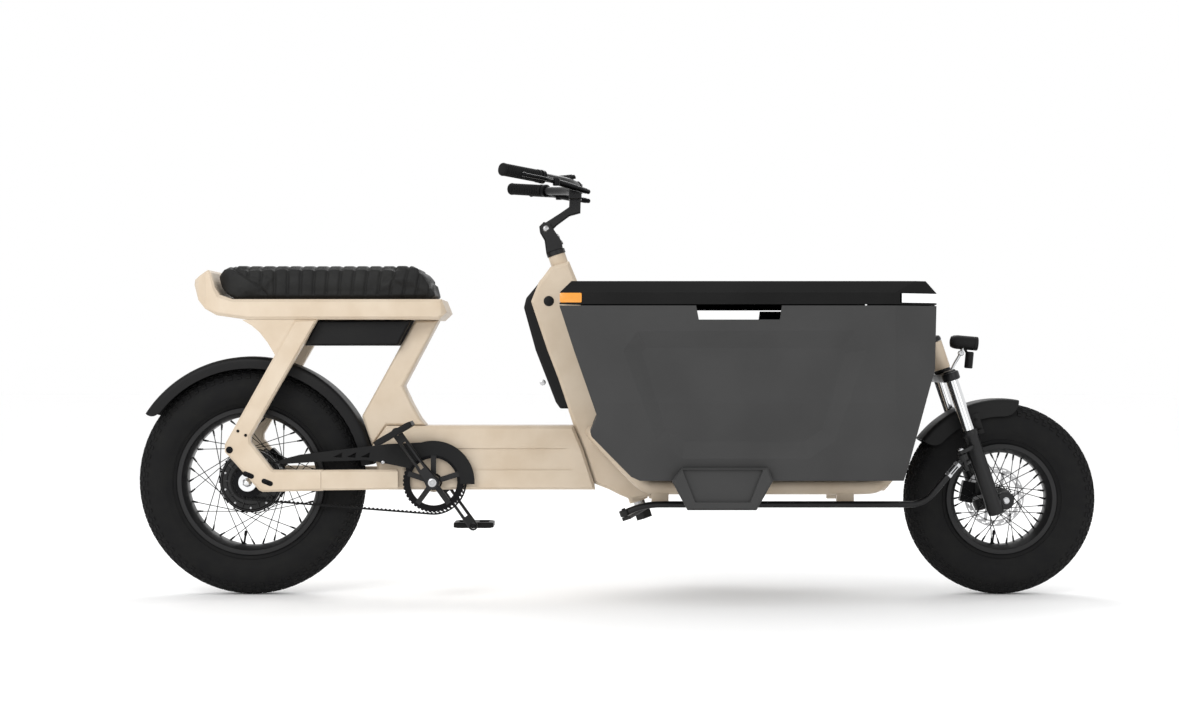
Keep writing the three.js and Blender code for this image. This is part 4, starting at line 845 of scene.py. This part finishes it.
def along_wall(*levels):
    """A solid that follows the right wall: a level is an outline and how far inside the wall's face it lies."""
    shape = bmesh.new()
    loops = []
    for points, inset in levels:
        places = [(x * MM, (inset - wall(z)) * MM, z * MM) for x, z in with_crease(points)]
        loops.append([shape.verts.new(place) for place in places])
    for one, other in zip(loops, loops[1:]):
        for i in range(len(one)):
            j = (i + 1) % len(one)
            shape.faces.new((one[i], one[j], other[j], other[i]))
    for ring in (loops[0], loops[-1]):
        upper = [v for v in ring if v.co.z > (CREASE - 0.01) * MM]
        lower = [v for v in ring if v.co.z < (CREASE + 0.01) * MM]
        first = next(i for i, v in enumerate(ring) if v in upper and ring[i - 1] not in upper)
        turn = ring[first:] + ring[:first]
        shape.faces.new([v for v in turn if v in upper])
        start = next(i for i, v in enumerate(turn) if v in lower and turn[(i + 1) % len(turn)] in lower)
        turn = turn[start:] + turn[:start]
        shape.faces.new([v for v in turn if v in lower])
    bmesh.ops.recalc_face_normals(shape, faces=shape.faces)
    return shape


PANEL = [(46, 691), (11, 642), (93, 420), (161, 373), (477, 373), (541, 418), (617, 645), (586, 693)]
DISH_DEPTH = 13
PANEL_FLOOR = [(70, 650), (57, 640), (117, 446), (166, 416), (462, 414), (507, 445), (565, 635), (556, 648)]


def cargo_box():
    """The box shell with a dished panel in each side wall and a recess in each side step."""
    shape = from_cad("cargo_box")
    for flip in (False, True):
        thicker = along_wall((PANEL, 2), (PANEL_FLOOR, DISH_DEPTH + 5))
        dish = along_wall((PANEL, -8), (PANEL, 0), (PANEL_FLOOR, DISH_DEPTH))
        step = plate([(158, 346), (359, 346), (327, 265), (190, 265)], -BOX_HALF - 12, -BOX_HALF + 7)
        tools = [mirrored(tool) if flip else tool for tool in (thicker, dish, step)]
        shape = carved(shape, tools[0], "UNION")
        shape = carved(shape, tools[1])
        shape = carved(shape, tools[2])
    piece("cargo_box", shape, "root", BOX, ["cargo_box"], bevel=1.6, crease=5)


cargo_box()
softened("lid", "lid", LID, 3.0, 20)
softened("lid_hinge", "root", BLACK, 0.8, 40)


def side_reflector(name, side):
    """An amber reflector let into the lid's band: a strip with softened corners."""
    (x0, _, z0), (x1, _, z1) = low(name), high(name)
    radius = 3.5
    left, right, bottom, top = x0 + radius, x1 - radius, z0 + radius, z1 - radius
    corners = [(right, bottom, -90), (right, top, 0), (left, top, 90), (left, bottom, 180)]
    outline = [point for x, z, start in corners for point in arc(x, z, radius, start, start + 90, 4)]
    face, back = side * BOX_HALF, side * (BOX_HALF - 2.6)
    near, far = sorted((face + side * 1.6, back))
    piece(name, plate(outline, near, far, 0.8), "lid", ORANGE, [name])


side_reflector("rear_reflector_right", -1)
side_reflector("rear_reflector_left", 1)
softened("front_reflector", "lid", WHITE, 0.7)


# ------------------------------------------------------------ mudguards
def guard_section(radius, half, skirt):
    """The mudguard's section: a crowned shell 2.5 mm thick with straight skirts."""
    outer = [(skirt, half), (radius - 14, half)]
    outer += [(radius - 12 + 12 * math.sin(math.radians(a)), half - 12 + 12 * math.cos(math.radians(a)))
              for a in range(15, 91, 15)]
    outer += [(radius + 1.0, 0)]
    inner = [(r - 2.6 if r > radius - 13 else r, y - 2.6) for r, y in outer[:-1]] + [(radius - 1.6, 0)]
    right_outer = [(r, -y) for r, y in reversed(outer[:-1])]
    right_inner = [(r, -y) for r, y in inner[:-1]]
    return outer + right_outer + right_inner + list(reversed(inner))


def rounded_end(guard, radius, skirt, end, inward, half):
    """Rounds the lower corner that a mudguard's skirt ends in: inward is the way round from the end."""
    corner, on_skirt = around(skirt, 0, end), around(skirt, 0, end + inward)
    on_end = around(radius - 6, 0, end)
    curve = []
    for i in range(11):
        t = i / 10
        curve.append((1 - t) ** 2 * on_end + 2 * t * (1 - t) * corner + t * t * on_skirt)
    clear = 14
    aside = (corner - on_skirt).normalized() * clear
    under = corner.normalized() * -clear
    outline = [*curve, on_skirt + under, corner + under + aside, on_end + aside]
    return carved(guard, plate([(point.x, point.z) for point in outline], -half - 5, half + 5))


def mudguards():
    """A long rear guard on the frame, and a short front one that rides on the fork's lower legs."""
    radius, half, skirt = 328, 58, 297
    rear = lathe(guard_section(radius, half, skirt), 60, 8, 139)
    rear = rounded_end(rear, radius, skirt, 147, -7, half)
    piece("rear_mudguard", shifted(rear, *REAR_AXLE), "root", TRIM, ["rear_mudguard"],
          crease=40)

    radius, half, skirt = 264, 57, 218
    front = lathe(guard_section(radius, half, skirt), 48, 62, 63)
    front = rounded_end(front, radius, skirt, 62, 12, half)
    front = rounded_end(front, radius, skirt, 125, -9, half)
    tilt = FORK @ Matrix.Translation((34, 0, 0))
    brackets = []
    for side in SIDES:
        brackets.append(block((-12, side * 54.5, 182), (10, side * 59.5, 238), 1.0))
        brackets.append(block((-9, side * 57, 183), (7, side * 74, 195), 1.5))
        brackets.append(screw((-1, side * 59.5, 222), LEFT * side, 4.2, 3))
    piece("front_mudguard", put(front, tilt), "fork_lower", TRIM, ["front_mudguard"],
          crease=40)
    piece("front_mudguard_brackets", put(join(*brackets), tilt), "fork_lower", TRIM)


mudguards()


# ------------------------------------------------------------ belt drive
BELT_PLANE = middle("drive_belt").y
BELT_PITCH = 11.0
FRONT_TEETH, REAR_TEETH = 46, 24
FRONT_PULLEY = FRONT_TEETH * BELT_PITCH / math.tau
REAR_PULLEY = REAR_TEETH * BELT_PITCH / math.tau


def belt_path(offset):
    """The closed path round both pulleys, a little way outside their pitch circles."""
    reach = (REAR_AXLE - CRANK).length
    wrap = 90 + math.degrees(math.asin((FRONT_PULLEY - REAR_PULLEY) / reach))
    route = arc(CRANK.x, CRANK.z, FRONT_PULLEY + offset, -wrap, wrap, 120)
    route += arc(REAR_AXLE.x, REAR_AXLE.z, REAR_PULLEY + offset, wrap, 360 - wrap, 60)
    return [Vector((x, 0, z)) for x, z in route] + [Vector((route[0][0], 0, route[0][1]))]


def evenly(path, spacing):
    """Points at an even spacing along a closed path, with the outward direction at each."""
    length = sum((b - a).length for a, b in zip(path, path[1:]))
    count = 4 * round(length / spacing / 4)
    step, travelled, out = length / count, 0.0, []
    for a, b in zip(path, path[1:]):
        span = (b - a).length
        while travelled <= span and len(out) < count:
            ahead = (b - a).normalized()
            out.append((a + ahead * travelled, Vector((ahead.z, 0, -ahead.x))))
            travelled += step
        travelled -= span
    return out


def drive_belt():
    """A toothed belt: a flat back with square teeth inside."""
    half, tooth, web = 5.0, 5.0, 2.4
    shape = bmesh.new()
    rows = []
    for i, (spot, out) in enumerate(evenly(belt_path(4.5), BELT_PITCH / 4)):
        depth = tooth if i % 4 < 2 else web
        inner, outer = spot - out * depth, spot + out * 1.4
        rows.append([shape.verts.new((p.x * MM, (BELT_PLANE + y) * MM, p.z * MM))
                     for p, y in ((inner, -half), (outer, -half), (outer, half), (inner, half))])
    for one, other in zip(rows, rows[1:] + rows[:1]):
        for i in range(4):
            j = (i + 1) % 4
            shape.faces.new((one[i], one[j], other[j], other[i]))
    bmesh.ops.recalc_face_normals(shape, faces=shape.faces)
    piece("drive_belt", shape, "root", SOFT_RUBBER, ["drive_belt"], crease=30)


def toothed_ring(centre, inner, radius, teeth, near, far):
    """A pulley rim with square teeth, pierced by a bore."""
    outline = []
    for i in range(teeth):
        for share, depth in ((0.05, 2.6), (0.30, 2.6), (0.42, 0.0), (0.93, 0.0)):
            angle = math.tau * (i + share) / teeth
            outline.append(((radius - depth) * math.cos(angle), (radius - depth) * math.sin(angle)))
    shape = plate(outline, near, far)
    hole = plate(arc(0, 0, inner, 0, 354, 59), near - 2, far + 2)
    return shifted(carved(shape, hole), *centre)


def belt_guard():
    """A thin cover that runs over the belt ring and back along the top run, with three lightening holes."""
    plane = BELT_PLANE - 12
    shape = plate([
        *arc(CRANK.x, CRANK.z, 70, 150, -4, 32), *arc(CRANK.x, CRANK.z, 108, -3, 107, 28), (-600, 400),
        (-829, 372), (-868, 362), (-882, 356), (-880, 347), (-769, 354), (-655, 358), (-580, 344),
    ], plane - 3, plane)
    for x in (-742, -706, -670):
        hole = plate([(x, 366), (x + 22, 364), (x + 24, 378)], plane - 8, plane + 5)
        shape = carved(shape, hole)
    post = Vector((-612, plane, 352))
    strut = round_bar(post - LEFT, (post.x, low("main_beam").y - 0.5, post.z), 5)
    piece("belt_guard", shape, "root", TRIM, ["belt_guard"], bevel=0.7, crease=40)
    piece("belt_guard_post", strut, "root", TRIM)
    piece("belt_guard_screw", screw(post - LEFT * 3, -LEFT, 5), "root", STEEL)


drive_belt()
for node, body, centre, bore, radius, teeth, near, far in (
        ("belt_ring", "crank", CRANK, 62, FRONT_PULLEY, FRONT_TEETH, -4, 4),
        ("rear_sprocket", "sprocket", REAR_AXLE, 21.5, REAR_PULLEY, REAR_TEETH, 1, 8)):
    centre = Vector((centre.x, 0, centre.z))
    ring = toothed_ring(centre, bore, radius - 0.2, teeth, BELT_PLANE + near, BELT_PLANE + far)
    piece(node, ring, body, ANODISED, [node], crease=30)
belt_guard()
for hand in ("right", "left"):
    softened("crank_arm_" + hand, "crank", BLACK, 1.2, 26)
SPINDLE = Vector((CRANK.x, 0, CRANK.z))
bolt = [(11, 0), (11, 1.6), (10, 2.2), (6, 2.2), (5, 0.6)]
crank_ends = [barrel(SPINDLE + LEFT * s * 117.5, SPINDLE + LEFT * s * 120, bolt, 32) for s in SIDES]
piece("crank_bolts", join(*crank_ends), "crank", STEEL)
piece("crank_spindle", round_bar(SPINDLE - LEFT * 116, SPINDLE + LEFT * 116, 10, 1, 40), "crank", STEEL,
      ["crank_spindle"])
half = high("bottom_bracket").y
shell = [(11.5, -half), (20, -half), (22, 2 - half), (22, half - 2), (20, half), (11.5, half)]
piece("bottom_bracket", shifted(lathe(shell, 48), *SPINDLE), "root", ANODISED,
      ["bottom_bracket"])
for name in ("pedal_right", "pedal_left"):
    softened(name, name, TRIM, 1.0, 26)


# ------------------------------------------------------------ rear axle and calipers
def rear_axle():
    """The fixed axle, with a washer, a hexagon nut and a domed cap outside each stay."""
    nut = 89.4
    ends = []
    for side in SIDES:
        at, out = Vector((REAR_AXLE.x, side * nut, REAR_AXLE.z)), LEFT * side
        ends.append(barrel(at, at + out, [(24, -0.4), (24, 1.2), (23, 2)], 40))
        ends.append(barrel(at + out * 2, at + out * 3, [(11.5, 0), (12.2, 1), (12.2, 8), (10.5, 10)], 6))
        ends.append(barrel(at + out * 11, at + out * 12, [(10.0, 0), (9.5, 3), (7, 7), (3.5, 9)], 32))
    shaft = round_bar((REAR_AXLE.x, -nut, REAR_AXLE.z), (REAR_AXLE.x, nut, REAR_AXLE.z), 7)
    piece("rear_axle", join(shaft, *ends), "root", CHROME, ["rear_axle"])


rear_axle()
softened("rear_brake_caliper", "root", ANODISED, 2.5)
softened("front_brake_caliper", "fork_lower", ANODISED, 2.5)


# ------------------------------------------------------------ steering column, stem and handlebar
column = rod([COLUMN @ Vector((0, 0, z)) for z in (-735, 25)], 15, 10)
piece("steering_column", column, "steering", STEEL, ["steering_column"])
softened("steering_arm", "steering", BLACK, 1.2)
softened("stem_base", "steering", BLACK, 1.6, 26)
softened("stem_arm", "cockpit", BLACK, 1.6, 26)
tilt_bolt = pivot("stem_tilt")
piece("stem_bolt", join(screw(tilt_bolt - LEFT * 20, -LEFT, 8, 4), screw(tilt_bolt + LEFT * 20, LEFT, 8, 4)),
      "steering", STEEL)
clamp = Vector((-111, 0, 1074))
bolt_head = [(5.2, 0), (6.2, 1), (6.2, 6), (4.4, 7.5)]
clamp_bolts = [barrel((x, side * 9, z), (x + 0.87, side * 9, z + 0.5), bolt_head, 20)
               for side in SIDES for x, z in ((-151, 929), (-160, 945))]
piece("stem_clamp_bolts", join(*clamp_bolts), "steering", STEEL)
face_bolts = [screw(clamp + Vector((17, side * 15, lift)), AHEAD, 3.4, 3)
              for side in SIDES for lift in (-10, 8)]
piece("stem_bolts", join(*face_bolts), "cockpit", STEEL)

GRIP_INNER, GRIP_OUTER = Vector((-184, -208, 1084)), Vector((-290, -296, 1097))
ALONG = (GRIP_OUTER - GRIP_INNER).normalized()


def handlebar():
    """A swept bar through the stem's clamp sleeve."""
    half = [(-111, -30, 1074), (-108, -70, 1075), (-128, -140, 1079), GRIP_INNER, GRIP_OUTER]
    path = [Vector(p) for p in reversed(half)] + [Vector((x, -y, z)) for x, y, z in half]
    piece("handlebar", rod(eased(path, 40, 8), 11, 8), "cockpit", BLACK, ["handlebar"])
    sleeve = lathe([(13.5, -24), (16, -24), (16, 24), (13.5, 24)], 40)
    sleeve = shifted(sleeve, clamp.x, 0, clamp.z)
    piece("bar_clamp_sleeve", sleeve, "cockpit", BLACK)


def grip(name, side):
    """A moulded grip: a locking collar, rows of raised pads and a rounded end."""
    end = GRIP_OUTER + ALONG * 4
    start = end - ALONG * 120
    profile = [(12.5, 0), (16, 0.5), (17, 2), (17, 8), (15, 9)]
    for i in range(16):
        at = 12 + i * 6.2
        profile += [(14.6, at), (16.0, at + 1), (16.0, at + 4), (14.6, at + 5)]
    profile += [(16.4, 112), (16.8, 116), (15.5, 119.5), (12, 121)]
    sleeve = barrel(start, end, profile, 40)
    if side > 0:
        sleeve = mirrored(sleeve)
    piece(name, sleeve, "cockpit", SOFT_RUBBER, [name], crease=40)


def brake_lever(hand, side):
    """A hydraulic lever: a clamp on the bar, a long reservoir ahead of it and a blade along the grip."""
    body, blade = "brake_housing_" + hand, "brake_lever_" + hand
    at = GRIP_INNER + ALONG * 8
    hinge = pivot("brake_right")
    front = Vector((-74, -150, 1052))
    towards = (front - hinge).normalized()
    reach = (front - hinge).length
    reservoir = [(6.5, 0), (8, 2), (8.4, reach * 0.55), (7.2, reach * 0.62), (7.2, reach - 12),
                 (6.2, reach - 10), (6.2, reach - 2), (5, reach)]
    body_parts = [
        barrel(at, at + ALONG, [(16, 0), (17.5, 1.5), (17.5, 10.5), (16, 12)], 40),
        barrel(hinge, hinge + towards, reservoir, 28),
        round_bar(at + ALONG * 3, hinge, 6.5, 1.5, 24),
        round_bar(hinge - UP * 10, hinge + UP * 9, 9, 1.5, 32),
    ]
    start = hinge + ALONG * 15
    bend = start + ALONG * 30 + Vector((10, -10, 0))
    tip = bend + ALONG * 68
    lever = rod(eased([start, bend, tip], 26, 8), 4.8, 7)
    tip_ball = barrel(tip, tip + ALONG, [(4.8, -3), (6.2, 1), (6.2, 5), (4, 9)], 24)
    knuckle = round_bar(start - ALONG * 9, start + ALONG * 3, 5.2, 1, 24)
    for name, parts, owner, material, slot in (
            (body, body_parts, "cockpit", ANODISED, "black_paint"),
            (blade, [lever, tip_ball, knuckle], blade, ANODISED, "bare_aluminium")):
        whole = join(*parts)
        if side > 0:
            whole = mirrored(whole)
        piece(name, whole, owner, material, [name])


handlebar()
for side, hand in zip(SIDES, ("right", "left")):
    grip("grip_" + hand, side)
    brake_lever(hand, side)


def display():
    """A small screen in a rounded case on the bar, with a glossy face."""
    softened("display", "cockpit", TRIM, 2.0, 24)
    tilt = math.degrees(math.atan2(1101 - 1096, -112 + 164))
    face = turned(block((-22, -17, 0), (20, 17, 1.2), 0.6), -tilt, "Y")
    piece("display_screen", shifted(face, -138, -85, 1098.8), "cockpit", GLOSS)


display()


# ------------------------------------------------------------ tie rod
def tie_rod():
    """A rod under the box from the column's arm to the fork's, with an eye at each end and a turnbuckle."""
    rear, front = pivot("tie_rod_pivot"), FORK @ Vector((-45, -150, 147))
    height = 247
    y = rear.y
    bends = [rear, (rear.x + 34, y, 239), (90, y, height), (768, y, height), (800, y, height + 14), front]
    bar = rod(eased(bends, 30), 8.5, 8)
    eyes = []
    for at in (rear, front):
        eye = turned(lathe([(7, -8), (12, -8), (13, -7), (13, 7), (12, 8), (7, 8)], 40), 90, "X")
        eyes.append(put(eye, leaning(at)))
    piece("tie_rod", join(bar, *eyes), "tie_rod", BLACK, ["tie_rod"])
    along = (front - Vector((800, y, height + 14))).normalized()
    start = front - along * 62
    turnbuckle = barrel(start, start + along, [
        (9.2, 0), (10.8, 1), (10.8, 9), (9.4, 10), (9.4, 34), (10.8, 35), (10.8, 43), (9.2, 44)], 6)
    piece("tie_rod_turnbuckle", turnbuckle, "tie_rod", ALUMINIUM)


tie_rod()


# ------------------------------------------------------------ fork
def fork():
    """A crown with its steerer and stanchions, and sliding lower legs that hold the axle and steering arm."""
    spread = 95
    crown_low, crown_high = 341, 363
    head_top = 446

    def upright(profile, y=0):
        """A turned piece standing along the fork, its profile of [radius, height]."""
        shape = spindle([(0, profile[0][1])] + profile + [(0, profile[-1][1])], 48)
        return shifted(turned(shape, 90, "X"), 0, y, 0)

    outline = [*arc(0, spread, 23, 0, 180, 24), *arc(0, -spread, 23, 180, 360, 24)]
    crown = slab(outline, crown_low, crown_high, 4, 3)
    cap_profile = [(17, crown_high), (17, crown_high + 3), (14, crown_high + 5), (6, crown_high + 5)]
    cap_tops = [upright(cap_profile, s * spread) for s in SIDES]
    steerer = upright([(14, crown_low + 2), (14, head_top + 16)])
    race = upright([(23, head_top + 1.6), (23, head_top + 9), (20, head_top + 14), (14, head_top + 16)])
    lower_race = upright([(21, crown_high), (22, crown_high + 2), (22, crown_high + 7), (20, crown_high + 8)])
    piece("fork_crown", put(join(crown, steerer, race, lower_race, *cap_tops), FORK), "fork_upper", BLACK,
          ["fork_crown"])
    stanchions = [upright([(15, 112), (16, 113), (16, crown_low + 4)], s * spread) for s in SIDES]
    piece("stanchions", put(join(*stanchions), FORK), "fork_upper", CHROME)
    lamp = FORK.inverted() @ pivot("headlight_tilt")
    bracket = rod(eased([(20, 0, crown_high - 6), (34, 0, crown_high + 10), (lamp.x, 0, lamp.z)], 12), 4)
    knuckle = round_bar((lamp.x, -6, lamp.z), (lamp.x, 6, lamp.z), 6)
    piece("headlight_bracket", put(join(bracket, knuckle), FORK), "fork_upper", ALUMINIUM)

    leg = [(16.9, 60), (17, 200), (18.5, 205), (21.5, 203), (22.5, 198), (22.5, 190), (20.5, 186), (20, 120),
           (20.5, 20), (21.5, -8), (20, -24), (14, -27), (4, -27), (4, 58)]
    parts = []
    for s in SIDES:
        parts.append(shifted(turned(lathe(leg, 48), 90, "X"), 0, s * spread, 0))
        parts.append(round_bar((32, s * 79, 0), (32, s * 98, 0), 23, 2, 48))
        parts.append(block((-2, s * 88 - 8, -18), (30, s * 88 + 8, 18), 4))
    parts.append(slab([(8, -103), (-12, -97), (-56, -148), (-49, -160), (-36, -156)], 157, 167, 2))
    parts.append(round_bar((-45, -150, 160), (-45, -150, 111), 5, 1, 24))
    piece("fork_lowers", put(join(*parts), FORK), "fork_lower", BLACK, ["fork_lowers"],
          crease=40)
    axle_bits = [round_bar((34, -104, 0), (34, 104, 0), 7)]
    for s in SIDES:
        axle_bits.append(screw((34, s * 98, 0), LEFT * s, 9, 4))
    axle_bits.append(screw((-45, -150, 167), UP, 8, 5))
    piece("fork_axle", put(join(*axle_bits), FORK), "fork_lower", ALUMINIUM)


fork()


def headlight():
    """A short round lamp with a clear front window on a silver yoke, and a small horn hung under it."""
    centre, hinge = Vector((919, 0, 665)), pivot("headlight_tilt")
    nose = around(1, 0, -5)
    back, front = centre - nose * 36.5, centre + nose * 36.5
    shell = barrel(back, front, [(8, 0), (14, 2), (17, 8), (18.5, 18), (18.5, 62), (17.8, 63), (18.5, 64),
                                 (18.5, 71), (17.4, 73), (16.4, 73), (16, 69)], 48)
    lens = barrel(front - nose * 4, front, [(15.8, 0), (15.8, 2.6), (12, 4.2), (6, 5.0)], 40)
    fork_arms = []
    for s in SIDES:
        at = Vector((0, s * 8.5, 0))
        fork_arms.append(round_bar(hinge + LEFT * s * 7, hinge + LEFT * s * 10, 7))
        fork_arms.append(rod([hinge + at, centre + at], 2.2))
    horn = [round_bar((935, 0, 641), (931, 0, 597), 11, 2), round_bar(centre - UP * 12, (932, 0, 630), 3.5)]
    piece("headlight", join(shell, *horn), "headlight", TRIM, ["headlight"])
    piece("headlight_lens", lens, "headlight", LENS)
    piece("headlight_yoke", join(*fork_arms), "headlight", ALUMINIUM)


headlight()


# ------------------------------------------------------------ centre stand
def kickstand():
    """A two-legged stand on a cross tube, with a brace between its legs and a rubber foot on each."""
    hinge = pivot("kickstand_fold")
    out, length = 66, 278
    parts = [round_bar(hinge - LEFT * 92, hinge + LEFT * 92, 9),
             round_bar(hinge + AHEAD * 190 - LEFT * out, hinge + AHEAD * 190 + LEFT * out, 6)]
    for s in SIDES:
        foot = hinge + AHEAD * length + LEFT * s * out
        parts.append(rod([hinge + LEFT * s * out, foot], 8.5, 8))
    piece("kickstand", join(*parts), "kickstand", BLACK, ["kickstand"])
    feet = []
    for s in SIDES:
        heel = (hinge.x + length - 22, s * out - 12, hinge.z - 11)
        toe = (hinge.x + length + 4, s * out + 12, hinge.z + 11)
        feet.append(block(heel, toe, 3))
    piece("kickstand_feet", join(*feet), "kickstand", SOFT_RUBBER)


kickstand()
